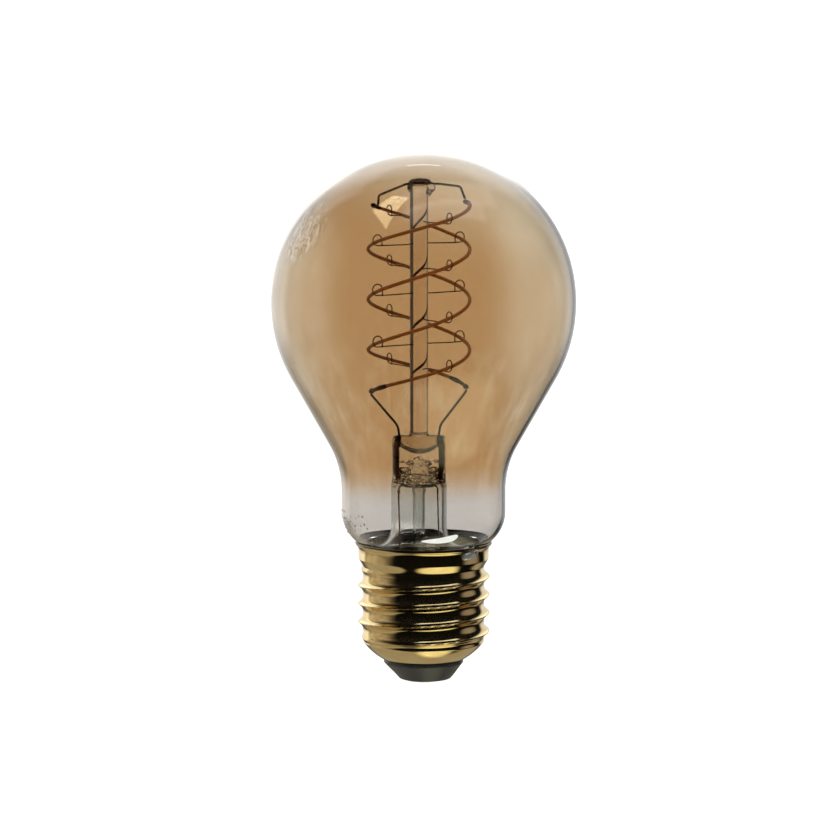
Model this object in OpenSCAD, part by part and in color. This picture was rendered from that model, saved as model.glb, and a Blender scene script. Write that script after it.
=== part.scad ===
// A light bulb with a flexible double filament, an amber coated glass globe and a screw cap that holds the
// driver and the radio. The origin is the centre of the centre contact's flat face, with +Z towards the globe.

/* [Glass envelope] */
// Radius of the globe
globe_r = 30; // [28:0.5:32]
// Height of the globe's centre above the centre contact
globe_z = 74.8; // [73:0.1:77]
// Thickness of the glass
glass_wall = 0.7; // [0.5:0.05:1]
// Half angle of the straight flank between globe and waist
flank_angle = 29.6; // [27:0.1:32]
// Radius of the hollow curve at the waist
waist_curve_r = 18.3; // [15:0.1:21]
// Radius of the neck, the narrowest part that shows
neck_r = 16.25; // [16:0.05:16.6]
// Radius of the curve by which the neck turns in to the cap
shoulder_r = 7.6; // [7.4:0.1:7.8]
// Height at which that curve starts
shoulder_z = 33.75; // [33.5:0.05:34]
// Radius of the glass inside the cap
root_glass_r = 12; // [11.7:0.05:12]
// Height of the sealed lower end of the glass
root_glass_z = 24.1; // [24.05:0.05:24.2]

/* [Screw cap] */
// Radius over the crests of the thread
crest_r = 13.1; // [13:0.01:13.15]
// Radius at the bottom of the thread's grooves
groove_r = 12.05; // [11.95:0.01:12.15]
// Rise of the thread in one turn
thread_pitch = 3.629; // [3.6:0.001:3.66]
// Height at which a crest passes the -X side
crest_z = 15.3; // [14:0.1:16]
// Radius of the plain skirt above the thread
skirt_r = 12.9; // [12.85:0.01:12.95]
// Height at which the skirt starts
skirt_z = 22.9; // [22.8:0.05:22.9]
// Height at which the skirt starts to flare
flare_z = 25; // [24.8:0.05:25]
// Radius of the flared lip
lip_r = 13.5; // [13.4:0.05:13.6]
// Height of the lip
lip_z = 27.5; // [27.4:0.05:27.6]
// Thickness of the sheet brass
sheet = 0.3; // [0.28:0.01:0.32]
// Radius of the curve of the closed lower end
dome_curve_r = 12.3; // [12.2:0.05:12.4]
// Radius of the hole for the insulator
dome_hole_r = 8; // [7.9:0.05:8.1]

/* [Contacts] */
// Radius of the insulator where it leaves the brass
insulator_top_r = 7.9; // [7.7:0.05:7.9]
// Radius of the insulator at its lower edge
insulator_foot_r = 5.3; // [5.1:0.05:5.5]
// Radius of the centre contact
contact_r = 4.2; // [4:0.05:4.3]
// How far the centre contact stands out of the insulator
contact_proud = 0.3; // [0.2:0.05:0.4]

/* [Stem] */
// How far the stem stands off the axis
stem_x = -0.9; // [-1:0.1:0]
// Radius of the stem tube
stem_tube_r = 5.5; // [5.3:0.1:5.6]
// Height of the shoulder of the stem tube
stem_top_z = 40.2; // [40:0.1:41]
// Width of the pressed block that seals the wires
press_width = 10.5; // [10:0.1:10.8]
// Depth of the pressed block
press_depth = 3.8; // [3.6:0.1:4.2]
// Height of the top of the pressed block
press_top_z = 48.9; // [48:0.1:50]
// Half the distance between the two sealed wires
lead_spread = 3.87; // [3.7:0.01:4]
// Radius of the glass rod that carries the filament
rod_r = 1.8; // [1.6:0.05:2]
// Height of the melted button's middle
button_z = 97.6; // [97:0.1:98]
// Radius of the exhaust tube
exhaust_r = 1.18; // [1:0.02:1.3]
// Height of the exhaust tube's sealed tip
exhaust_tip_z = 22.8; // [22.6:0.1:24]

/* [Filament] */
// Radius of the double helix
helix_r = 9.95; // [9:0.05:10.5]
// Height of the helix at the start of its first turn
helix_top_z = 94; // [93:0.1:95]
// Height of the two full turns
helix_drop = 37.1; // [36:0.1:38]
// How much of the drop the ends give to the middle
helix_ease = 0.0166; // [0:0.0001:0.03]
// Radius of one filament
filament_r = 0.36; // [0.3:0.01:0.4]
// How far the first quarter turn of the left filament is bent up
left_lift = 0.9; // [0:0.1:1]
// Radius of the metal end clips
clip_r = 0.55; // [0.45:0.01:0.6]
// Radius of the loops that carry the filament
loop_r = 1.05; // [0.9:0.05:1.1]
// Radius of the support wires
support_r = 0.12; // [0.1:0.01:0.14]
// Radius of the lead wires
lead_r = 0.24; // [0.2:0.01:0.26]

/* [Driver] */
// Width of the driver board
board_width = 19; // [18:0.5:19]
// Thickness of the driver board
board_thick = 1; // [0.8:0.1:1]
// Height of the driver board's lower edge
board_z = 7.4; // [7.3:0.1:7.6]
// Height of the driver board's upper edge
board_top_z = 21.6; // [21.4:0.1:21.8]

/* [Hidden] */
SUPPORTS = 14;
function support_name(k) = str("support_wire_", k < 9 ? "0" : "", k + 1);
$fn = 96;

// Colours
amber_glass = [0.78, 0.56, 0.34, 0.35];
clear_glass = [0.82, 0.86, 0.84, 0.45];
brass = [0.80, 0.63, 0.33];
steel = [0.62, 0.60, 0.58];
copper = [0.72, 0.42, 0.25];
solder_grey = [0.75, 0.76, 0.78];
phosphor = [0.80, 0.50, 0.20];

// Where the glass flank leaves the globe and where it meets the hollow curve of the waist
flank_run = (globe_r * cos(flank_angle) - neck_r - waist_curve_r * (1 - cos(flank_angle))) / sin(flank_angle);
flank_foot_z = globe_z - globe_r * sin(flank_angle) - flank_run * cos(flank_angle);
waist_z = flank_foot_z - waist_curve_r * sin(flank_angle);
shoulder_centre_r = neck_r - shoulder_r;
root_lip = 2.2;

// Thread
thread_bottom_z = 7.05;
thread_top_z = skirt_z + 0.15;
thread_sheet = 0.22;
thread_sides = 40;
thread_rows = 44;
thread_fade = 1.3;
seat_gap = 0.03;
dome_rim_r = 12;
dome_rim_z = 7.15;
notch_angle = -39;
solder_angle = -48;

// Fits between fixed pieces
fit_gap = 0.02;
rivet_r = 1.6;
seal_r = 0.3;
seal_low_z = 39.3;

// Filament ends, as angles travelled round the helix from its start
left_start = 23;
right_start = -25;
helix_end = 700;
upper_clip_turn = 16;
lower_clip_turn = 31;
support_first = 55;
support_step = 90;
supports_each = SUPPORTS / 2;
tail_offset = 0.32;

// ---- Geometry helpers ----

function unit(v) = v / norm(v);
function mix(a, b, t) = a + (b - a) * t;
function ease(t) = let (u = min(max(t, 0), 1)) u * u * (3 - 2 * u);
function polar(r, angle, z) = [r * cos(angle), r * sin(angle), z];

// A path with its inner corners rounded by short curves that start d before each corner
function rounded(path, d, steps = 4) =
    [for (i = [0:len(path) - 1])
        if (i == 0 || i == len(path) - 1) path[i]
        else let (
            p = path[i],
            a = p + unit(path[i - 1] - p) * d,
            b = p + unit(path[i + 1] - p) * d)
            each [for (s = [0:steps]) let (t = s / steps) mix(mix(a, p, t), mix(p, b, t), t)]];

// Tangents along a path, and normals carried along it without twist
function tangents(path) = let (n = len(path) - 1)
    [for (i = [0:n]) unit(path[min(i + 1, n)] - path[max(i - 1, 0)])];
function square_to(v, t) = unit(v - (v * t) * t);
function first_normal(t) = square_to(abs(t[2]) < 0.9 ? [0, 0, 1] : [0, 1, 0], t);
function carried(t, i, n) = i >= len(t) ? [] :
    let (m = square_to(n, t[i])) concat([m], carried(t, i + 1, m));

// A solid round wire along a path. The radius is one number, or a list with one number for each point
module wire(path, radius, sides = 8) {
    t = tangents(path);
    normal = carried(t, 0, first_normal(t[0]));
    last = len(path) - 1;
    rings = [for (i = [0:last]) let (r = is_list(radius) ? radius[i] : radius, side = cross(t[i], normal[i]))
        for (s = [0:sides - 1]) path[i] + r * (cos(360 * s / sides) * normal[i] + sin(360 * s / sides) * side)];
    flanks = [for (i = [0:last - 1], s = [0:sides - 1]) let (a = i * sides, b = a + sides, n = (s + 1) % sides)
        each [[a + s, b + s, b + n], [a + s, b + n, a + n]]];
    start = [for (s = [0:sides - 1]) s];
    end = [for (s = [sides - 1:-1:0]) last * sides + s];
    polyhedron(rings, concat([start], flanks, [end]));
}

// ---- Glass envelope ----

// Points along a circular arc, between two angles
function arc(centre, r, from, to, steps) =
    [for (i = [0:steps]) let (a = mix(from, to, i / steps)) centre + r * [cos(a), sin(a)]];

// The envelope's outline from the top of the globe down to the glass inside the cap, drawn in by inset
function envelope_outline(inset) = let (
    root_r = root_glass_r - inset,
    turn = acos((root_r - shoulder_centre_r) / (shoulder_r - inset)))
    concat(
        arc([0, globe_z], globe_r - inset, 90, -flank_angle, 40),
        arc([neck_r + waist_curve_r, waist_z], waist_curve_r + inset, 180 - flank_angle, 180, 10),
        arc([shoulder_centre_r, shoulder_z], shoulder_r - inset, 0, -turn, 12));
function reversed(list) = [for (i = [len(list) - 1:-1:0]) list[i]];

// Closed glass body of even thickness, with its lower edge turned in to meet the stem
module glass_bulb() {
    lip_top_z = root_glass_z + glass_wall + 0.1;
    color(amber_glass) rotate_extrude() polygon(concat(
        envelope_outline(0),
        [[root_glass_r, root_glass_z], [root_glass_r - root_lip, root_glass_z],
         [root_glass_r - root_lip, lip_top_z], [root_glass_r - glass_wall, lip_top_z]],
        reversed(envelope_outline(glass_wall))));
}

// ---- Stem ----

// Trumpet shaped glass foot: a tube with a domed top and a flared lower end that is sealed to the envelope
module stem_flare() {
    wall = 0.8;
    bend_r = 4.8;
    top_curve_r = 1.2;
    foot_z = root_glass_z + glass_wall + 0.12;
    foot_r = stem_tube_r + bend_r;
    bend_z = foot_z + wall + bend_r;
    crown = [stem_tube_r - top_curve_r, stem_top_z - top_curve_r];
    color(clear_glass) translate([stem_x, 0, 0]) difference() {
        rotate_extrude() {
            difference() {
                translate([0, foot_z]) square([foot_r, bend_z - foot_z]);
                translate([foot_r, bend_z]) circle(bend_r);
                translate([0, foot_z - 1]) square([stem_tube_r - wall, bend_z - foot_z + 2]);
                difference() {
                    translate([0, foot_z - 1]) square([foot_r, bend_z - foot_z + 1]);
                    translate([foot_r, bend_z]) circle(bend_r + wall);
                }
            }
            translate([stem_tube_r - wall, bend_z]) square([wall, crown[1] - bend_z]);
            difference() {
                intersection() {
                    translate(crown) circle(top_curve_r);
                    translate(crown) square(top_curve_r);
                }
                translate(crown) circle(top_curve_r - wall);
            }
            translate([0, stem_top_z - wall]) square([crown[0], wall]);
        }
        translate([0, 0, seal_low_z - 1]) cylinder(h = 3, r = exhaust_r + fit_gap);
        for (side = [-1, 1])
            translate([side * lead_spread, 0, seal_low_z - 1]) cylinder(h = 3, r = seal_r + fit_gap);
    }
}

// Pinched block of glass that closes the stem round the sealed wires
module stem_press() {
    end_r = press_depth / 2;
    height = press_top_z - stem_top_z;
    color(clear_glass) translate([stem_x, 0, stem_top_z]) difference() {
        union() {
            for (side = [-1, 1])
                translate([side * (press_width / 2 - end_r), 0, 0]) cylinder(h = height, r = end_r);
            translate([end_r - press_width / 2, -end_r, 0]) cube([press_width - press_depth, press_depth, height]);
        }
        for (side = [-1, 1])
            translate([side * lead_spread, 0, -1]) cylinder(h = height + 2, r = seal_r + fit_gap);
    }
}

// Thin tube, sealed at its tip, through which the envelope was emptied and filled
module exhaust_tube() {
    bore_r = exhaust_r - 0.4;
    color(clear_glass) translate([stem_x, 0, 0]) rotate_extrude() difference() {
        union() {
            intersection() {
                translate([0, exhaust_tip_z + exhaust_r]) circle(exhaust_r);
                translate([0, exhaust_tip_z]) square([exhaust_r, exhaust_r]);
            }
            translate([0, exhaust_tip_z + exhaust_r]) square([exhaust_r, stem_top_z - exhaust_tip_z - exhaust_r]);
        }
        translate([0, exhaust_tip_z + 1.5]) square([bore_r, stem_top_z]);
    }
}

// Glass rod with a melted, lumpy button at its top that grips the bridge wire
module support_rod() {
    color(clear_glass) difference() {
        union() {
            translate([stem_x, 0, press_top_z]) cylinder(h = button_z - press_top_z, r = rod_r);
            translate([stem_x, 0, button_z]) sphere(1.75);
            translate([stem_x - 0.85, 0.1, button_z + 0.3]) sphere(1);
            translate([stem_x + 1.4, 0, button_z + 0.3]) sphere(1.2);
            translate([stem_x + 2.65, -0.2, button_z - 0.3]) sphere(1.05);
            translate([stem_x + 1.6, -0.4, button_z - 1.2]) sphere(0.95);
        }
        translate([stem_x - 5, 0, bridge_z()]) rotate([0, 90, 0]) cylinder(h = 12, r = lead_r + fit_gap);
    }
}
function bridge_z() = button_z + 0.5;

// ---- Filament ----

// Height of either filament after it has travelled the given angle down the helix
function helix_z(travel) = travel < 0 ? helix_top_z - travel * 0.02 :
    let (u = travel / 720) helix_top_z - helix_drop * (u - helix_ease * sin(360 * u));
// A point on the left (side 0) or right (side 1) filament
function strand(side, travel) = let (
    lift = side == 0 ? left_lift * (1 - ease((travel - 60) / 70)) : 0,
    angle = 180 * (1 - side) - travel)
    [stem_x + helix_r * cos(angle), helix_r * sin(angle), helix_z(travel) + lift];
function strand_path(side, from, to, steps) =
    [for (i = [0:steps]) strand(side, mix(from, to, i / steps))];
function strand_start(side) = side == 0 ? left_start : right_start;

// One flexible filament between its two end clips
module filament(side) {
    from = strand_start(side) + upper_clip_turn;
    to = helix_end - lower_clip_turn;
    color(phosphor) wire(strand_path(side, from, to, 44), filament_r, 8);
}

// Crimped metal clips at the filament's ends
module clip_upper(side) {
    from = strand_start(side);
    color(steel) wire(strand_path(side, from, from + upper_clip_turn - 0.2, 4),
        [clip_r * 0.7, clip_r, clip_r * 0.9, clip_r * 0.9, clip_r * 0.75]);
}
module clip_lower(side) {
    from = helix_end - lower_clip_turn + 0.2;
    color(steel) wire(strand_path(side, from, helix_end, 7),
        [for (s = [0.75, 0.9, 0.9, 1, 0.9, 0.8, 0.9, 1.15]) s * clip_r]);
}

// A support wire: straight out from the rod, a loop round the filament, and a tail down beside the wire
module support_wire(k) {
    side = k < supports_each ? 0 : 1;
    place = strand(side, support_first + support_step * (k % supports_each));
    outward = unit([place[0] - stem_x, place[1], 0]);
    along = [-outward[1], outward[0], 0];
    foot_z = place[2] + 0.3 - loop_r;
    loop = [for (a = [-90:30:180])
        [helix_r + loop_r * cos(a), tail_offset * (a + 90) / 270, foot_z + loop_r * (1 + sin(a))]];
    profile = concat([[rod_r, 0, foot_z], [helix_r - 0.6, 0, foot_z]], loop,
        [[helix_r - loop_r, tail_offset, foot_z - 0.1]]);
    path = [for (p = profile) [stem_x, 0, p[2]] + p[0] * outward + p[1] * along];
    color(steel) wire(path, support_r, 6);
}

// Stiff wire through the button, which joins the upper ends of the two filaments
module bridge_wire() {
    left = strand(0, left_start + upper_clip_turn * 0.8) + [0, 0, clip_r + lead_r];
    right = strand(1, right_start) + [0, 0, clip_r + lead_r];
    path = [left, [left[0] + 0.1, left[1] - 0.8, left[2] + 1.8], [stem_x - 2.4, 0, bridge_z()],
        [stem_x + 3.9, 0, bridge_z()], [right[0] - 0.9, right[1] - 1.6, bridge_z() - 0.6], right];
    color(steel) wire(rounded(path, 0.5), lead_r, 8);
}

// ---- Lead wires: an inner, a sealed and an outer length on each side ----

module inner_lead(side) {
    sign = side == 0 ? -1 : 1;
    end = strand(side, helix_end) + [0, 0, -clip_r * 1.15 - lead_r];
    path = [end, [stem_x + sign * (lead_spread + 0.3), 0.16 * end[1], press_top_z + 1.9],
        [stem_x + sign * lead_spread, 0, press_top_z]];
    color(steel) wire(rounded(path, 0.8), lead_r, 8);
}

module seal_wire(side) {
    color(copper) translate([stem_x + (side == 0 ? -1 : 1) * lead_spread, 0, seal_low_z])
        cylinder(h = press_top_z - seal_low_z, r = seal_r);
}

module outer_lead(side) {
    sign = side == 0 ? -1 : 1;
    top_x = stem_x + sign * lead_spread;
    low_x = top_x + 0.25;
    pad_y = -board_thick / 2 - lead_r;
    path = [[top_x, 0, seal_low_z], [top_x, 0, 38.1], [top_x, 0, 37.6], [top_x, 0, 37.1],
        [low_x, 0, 29], [low_x, 0, 24.6], [low_x, pad_y, 22.4], [low_x, pad_y, 20.2]];
    knot = side == 0 ? 1.7 : 1.25;
    color(copper) wire(path, [for (s = [1, 1, knot, 1, 1, 1, 1, 1]) s * lead_r], 8);
}

// ---- Screw cap ----

// Radius of the thread's outer face: a narrow rounded crest on a wider groove, fading out at both ends
function thread_radius(z, angle) = let (
    phase = 360 * (z - crest_z) / thread_pitch - (angle - 180),
    crest = pow((1 + cos(phase)) / 2, 3),
    fade = ease((z - thread_bottom_z - 0.3) / thread_fade) * ease((skirt_z - z) / thread_fade),
    low = mix(dome_rim_r - seat_gap, groove_r, ease((z - thread_bottom_z - 0.3) / thread_fade)),
    core = mix(low, skirt_r - seat_gap, ease((z - skirt_z + 0.9) / 0.8)))
    core + max(crest_r - core, 0) * crest * fade;

module thread_wall() {
    n = thread_sides;
    last = thread_rows;
    skins = [for (inner = [0, 1], i = [0:last], s = [0:n - 1]) let (
        z = mix(thread_bottom_z, thread_top_z, i / last),
        angle = 360 * s / n,
        r = thread_radius(z, angle) - inner * thread_sheet) polar(r, angle, z)];
    inner_start = (last + 1) * n;
    faces = [for (s = [0:n - 1]) let (m = (s + 1) % n) each concat(
        [for (i = [0:last - 1]) let (a = i * n, b = a + n) each [[a + s, b + s, b + m], [a + s, b + m, a + m]]],
        [for (i = [0:last - 1]) let (a = inner_start + i * n, b = a + n)
            each [[a + s, b + m, b + s], [a + s, a + m, b + m]]],
        let (a = last * n, b = inner_start + last * n) [[a + s, b + s, b + m], [a + s, b + m, a + m]],
        let (b = inner_start) [[s, b + m, b + s], [s, m, b + m]])];
    polyhedron(skins, faces);
}

// The outside of the skirt and lip as a solid, for cutting what sits on them
module skirt_section(grow = 0) {
    polygon([[0, skirt_z], [skirt_r + grow, skirt_z], [skirt_r + grow, flare_z],
        [skirt_r + 0.08 + grow, lip_z - 1], [lip_r + grow, lip_z - 0.2], [lip_r + grow, lip_z], [0, lip_z]]);
}

// Formed brass shell: lip and skirt, rolled thread, and closed lower end with the insulator's hole
module screw_shell() {
    color(brass) {
        difference() {
            rotate_extrude() {
                difference() {
                    skirt_section();
                    polygon([[0, skirt_z - 1], [skirt_r - sheet, skirt_z - 1], [skirt_r - sheet, flare_z],
                        [skirt_r + 0.08 - sheet, lip_z - 1], [lip_r - sheet, lip_z - 0.2],
                        [lip_r - sheet, lip_z + 1], [0, lip_z + 1]]);
                }
                translate([lip_r - sheet / 2, lip_z]) circle(sheet / 2, $fn = 24);
            }
            rotate([0, 0, notch_angle]) translate([lip_r, 0, lip_z - 0.2]) cube([3, 0.9, 1.8], center = true);
        }
        thread_wall();
        rotate_extrude() {
            intersection() {
                difference() {
                    translate(dome_centre()) circle(dome_curve_r);
                    translate(dome_centre()) circle(dome_curve_r - sheet);
                }
                translate([dome_hole_r, 0]) square([dome_rim_r, dome_rim_z]);
            }
            translate([dome_rim_r - sheet, dome_rim_z - 0.1]) square([sheet, 0.5]);
        }
    }
}
// The dome's curve passes through its rim and through its hole's edge
dome_hole_z = 3.7;
function dome_centre() = let (
    rim = [dome_rim_r, dome_rim_z],
    hole = [dome_hole_r, dome_hole_z],
    half = norm(rim - hole) / 2,
    along = unit(rim - hole))
    (rim + hole) / 2 + sqrt(dome_curve_r * dome_curve_r - half * half) * [-along[1], along[0]];

// Black glass insulator, held in the brass by its inner flange
module cap_insulator() {
    color([0.12, 0.12, 0.12]) rotate_extrude() polygon([
        [contact_r + 0.05, contact_proud], [insulator_foot_r - 0.25, contact_proud],
        [insulator_foot_r, contact_proud + 0.2], [insulator_top_r, 3.55], [insulator_top_r, 4.2], [9.2, 5],
        [9.2, 5.7], [rivet_r + 0.05, 5.7], [rivet_r + 0.05, 0.95], [contact_r + 0.05, 0.95]]);
}

// Centre contact: a flat faced disc with a hollow rivet that is rolled over inside the cap
module centre_contact() {
    color(brass) rotate_extrude() polygon([
        [1, 0], [contact_r - 0.5, 0], [contact_r, 0.35], [contact_r, 0.93], [rivet_r, 0.93], [rivet_r, 5.73],
        [2.3, 5.73], [2.3, 6.05], [0.9, 6.05], [0.9, 0.2]]);
}

module contact_solder() {
    color(solder_grey) translate([0, 0, 0.12]) cylinder(h = 1.9, r = 0.88);
}

// Solder on the skirt where the folded end of the neutral wire is fixed
module side_solder() {
    color(solder_grey) difference() {
        union() {
            translate(polar(skirt_r + 0.1, solder_angle, 26.15)) sphere(1);
            translate(polar(skirt_r + 0.25, solder_angle - 3.5, 26)) sphere(0.8);
            translate(polar(skirt_r + 0.2, solder_angle + 3, 26.3)) sphere(0.6);
        }
        rotate_extrude() skirt_section(fit_gap);
    }
}

// Ring of cement between the glass and the brass
module basing_cement() {
    color([0.45, 0.40, 0.33]) difference() {
        translate([0, 0, root_glass_z + 0.2]) cylinder(h = 2.4, r = skirt_r - sheet - 0.03);
        translate([0, 0, root_glass_z - 1]) cylinder(h = 5, r = root_glass_r + 0.03);
        translate(polar(wire_gap_r(), notch_angle, root_glass_z - 1)) cylinder(h = 5, r = 0.45);
    }
}
function wire_gap_r() = (root_glass_r + skirt_r - sheet) / 2;

// ---- Driver and radio, inside the cap ----

module driver_board() {
    color([0.13, 0.36, 0.22]) translate([-board_width / 2, -board_thick / 2, board_z])
        cube([board_width, board_thick, board_top_z - board_z]);
}

module radio_module() {
    color([0.10, 0.16, 0.36]) translate([-3.5, board_thick / 2 + 0.05, 9.5]) cube([12, 0.8, 11]);
}

module radio_shield() {
    color([0.72, 0.72, 0.70]) translate([-1.8, board_thick / 2 + 0.87, 9.9]) difference() {
        cube([8.6, 1.9, 7.6]);
        translate([0.15, -1, 0.15]) cube([8.3, 2.75, 7.3]);
    }
}

// Folded copper track on the end of the radio module
module radio_antenna() {
    track = 0.4;
    rise = 2.1;
    legs = 7;
    step = 1.5;
    color(copper) translate([-2.2, board_thick / 2 + 0.86, 17.95]) {
        for (k = [0:legs - 1]) translate([k * step, 0, 0]) cube([track, 0.08, rise]);
        for (k = [0:legs - 2]) translate([k * step, 0, k % 2 == 0 ? rise - track : 0])
            cube([step + track, 0.08, track]);
    }
}

// A leg that leaves a part's lower end and turns in to the board
module leg(x, y, z) {
    wire([[x, y, z], [x, y, z - 0.7], [x, y + 0.2, z - 0.9], [x, -board_thick / 2, z - 0.9]], 0.2, 6);
}

module smoothing_capacitor() {
    at = [-5.4, -4, 11.6];
    color([0.10, 0.10, 0.14]) {
        translate(at) rotate_extrude()
            polygon([[0, 0], [2.9, 0], [3.15, 0.25], [3.15, 1.1], [2.95, 1.35], [3.15, 1.6], [3.15, 8.2],
                [2.85, 8.5], [0, 8.5]]);
        for (side = [-1, 1]) leg(at[0] + side, at[1], at[2] + 0.1);
    }
}

choke_at = [3.9, -3.95, 12.9];
module choke_core() {
    color([0.18, 0.18, 0.18]) {
        translate(choke_at) rotate_extrude()
            polygon([[0, 0], [3, 0], [3, 1], [1.6, 1], [1.6, 5.9], [3, 5.9], [3, 6.9], [0, 6.9]]);
        for (side = [-1, 1]) leg(choke_at[0] + side * 1.2, choke_at[1], choke_at[2] + 0.1);
    }
}

module choke_winding() {
    turns = 8;
    pitch = 4.84 / turns;
    color(copper) translate(choke_at + [0, 0, 1.03]) rotate_extrude() {
        translate([1.63, 0]) square([0.8, 4.84]);
        for (k = [0:turns - 1]) translate([2.43, (k + 0.5) * pitch]) circle(0.28, $fn = 16);
    }
}

// A flat moulded package with short legs on two sides
module package(size, legs, leg_pitch, leg_width) {
    cube(size, center = true);
    for (side = [-1, 1], k = [0:legs - 1])
        translate([side * (size[0] / 2 + 0.2), size[1] / 2 - 0.1, (k - (legs - 1) / 2) * leg_pitch])
            cube([0.6, 0.2, leg_width], center = true);
}

module bridge_rectifier() {
    color([0.09, 0.09, 0.09]) translate([-0.6, -board_thick / 2 - 0.85, 9.6])
        package([3.9, 1.6, 3.4], 2, 2.4, 0.6);
}

module driver_chip() {
    color([0.11, 0.11, 0.12]) translate([5.9, -board_thick / 2 - 0.75, 9.6])
        package([3.9, 1.4, 3.4], 4, 0.9, 0.4);
}

// Resistor that also serves as the fuse, with its lead to the board
fuse_at = [-6.6, 3.2, 8.8];
module fuse_resistor() {
    top = fuse_at + [0, 0, 5.4];
    color([0.35, 0.55, 0.50]) {
        translate(fuse_at) rotate_extrude() polygon([[0, 0], [1.1, 0], [1.3, 0.3], [1.3, 1.2], [1.1, 1.5],
            [1.1, 4], [1.3, 4.3], [1.3, 5.2], [1.1, 5.5], [0, 5.5]]);
        wire(rounded([top, top + [0, 0, 1.4], [top[0], board_thick / 2, top[2] + 1.4]], 0.5), 0.25, 8);
    }
}

module live_wire() {
    path = [[0, 0, 2.03], [0, 0, 6.6], [-1.6, 2.2, 6.9], [fuse_at[0], fuse_at[1], 7.2], fuse_at];
    color([0.65, 0.12, 0.10]) wire(rounded(path, 0.5), 0.3, 8);
}

// Runs up between glass and brass, out through the lip's notch, and folds down on the skirt
module neutral_wire() {
    up = notch_angle;
    path = [[8.2, -board_thick / 2 - 0.22, 20.4], [8.2, -board_thick / 2 - 0.22, 21.7], polar(11, up, 22.3),
        polar(wire_gap_r(), up, 23.4), polar(wire_gap_r(), up, 26.75), polar(skirt_r + 0.75, up, 26.8),
        polar(skirt_r + 0.7, up - 2.3, 25.6), polar(skirt_r + 0.75, up - 4.2, 26.7)];
    color(solder_grey) wire(rounded(path, 0.22, 3), 0.2, 8);
}

glass_bulb();
stem_flare();
stem_press();
exhaust_tube();
support_rod();
filament(0);  // filament_left
filament(1);  // filament_right
clip_upper(0);  // clip_upper_left
clip_upper(1);  // clip_upper_right
clip_lower(0);  // clip_lower_left
clip_lower(1);  // clip_lower_right
bridge_wire();
inner_lead(0);  // inner_lead_left
inner_lead(1);  // inner_lead_right
seal_wire(0);  // seal_wire_left
seal_wire(1);  // seal_wire_right
outer_lead(0);  // outer_lead_left
outer_lead(1);  // outer_lead_right
screw_shell();
cap_insulator();
centre_contact();
contact_solder();
side_solder();
basing_cement();
driver_board();
radio_module();
radio_shield();
radio_antenna();
smoothing_capacitor();
choke_core();
choke_winding();
bridge_rectifier();
driver_chip();
fuse_resistor();
neutral_wire();
live_wire();
for (k = [0:SUPPORTS - 1]) support_wire(k);
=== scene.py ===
"""Looks of a light bulb with a double filament: fine meshes and procedural materials round the CAD frame."""
import math
import random

import bmesh
import bpy
import numpy as np
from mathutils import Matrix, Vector, noise


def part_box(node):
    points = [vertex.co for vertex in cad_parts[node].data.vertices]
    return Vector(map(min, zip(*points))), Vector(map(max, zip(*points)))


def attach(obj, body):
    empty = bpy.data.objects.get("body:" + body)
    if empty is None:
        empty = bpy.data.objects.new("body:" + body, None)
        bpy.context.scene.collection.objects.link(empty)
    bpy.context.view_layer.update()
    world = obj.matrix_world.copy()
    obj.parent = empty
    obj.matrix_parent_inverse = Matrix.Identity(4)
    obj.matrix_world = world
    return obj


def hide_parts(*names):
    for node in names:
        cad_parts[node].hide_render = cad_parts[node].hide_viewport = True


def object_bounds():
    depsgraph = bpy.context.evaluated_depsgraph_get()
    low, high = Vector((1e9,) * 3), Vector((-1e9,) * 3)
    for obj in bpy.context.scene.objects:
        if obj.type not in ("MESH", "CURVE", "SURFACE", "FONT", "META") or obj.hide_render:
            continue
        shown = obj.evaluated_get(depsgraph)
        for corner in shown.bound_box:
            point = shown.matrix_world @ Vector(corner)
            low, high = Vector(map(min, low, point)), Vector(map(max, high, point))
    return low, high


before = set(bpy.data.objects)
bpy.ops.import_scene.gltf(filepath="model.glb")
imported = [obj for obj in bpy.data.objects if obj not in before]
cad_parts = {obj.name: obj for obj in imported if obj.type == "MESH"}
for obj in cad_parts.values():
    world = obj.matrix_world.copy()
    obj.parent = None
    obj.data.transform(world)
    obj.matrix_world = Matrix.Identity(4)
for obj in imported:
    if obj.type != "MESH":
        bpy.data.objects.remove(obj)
cad_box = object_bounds()

# ---------------------------------------------------------------- dimensions, in millimetres and degrees
# The camera's place and the floor's size are in metres.
MM = 0.001
BODY = "root"


def box_mm(node):
    """Lowest and highest corner of a CAD node, in millimetres."""
    low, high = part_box(node)
    return low / MM, high / MM


glass_low, glass_high = box_mm("glass_bulb")
GLOBE_R = (glass_high.x - glass_low.x) / 2
GLOBE_Z = glass_high.z - GLOBE_R
GLASS_WALL = 0.7
FLANK_ANGLE = 29.6
WAIST_CURVE_R = 18.3
NECK_R = 16.25
SHOULDER_R = 7.6
SHOULDER_Z = 33.75
ROOT_R = 12.0
ROOT_Z = glass_low.z
ROOT_LIP = 2.2

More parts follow.
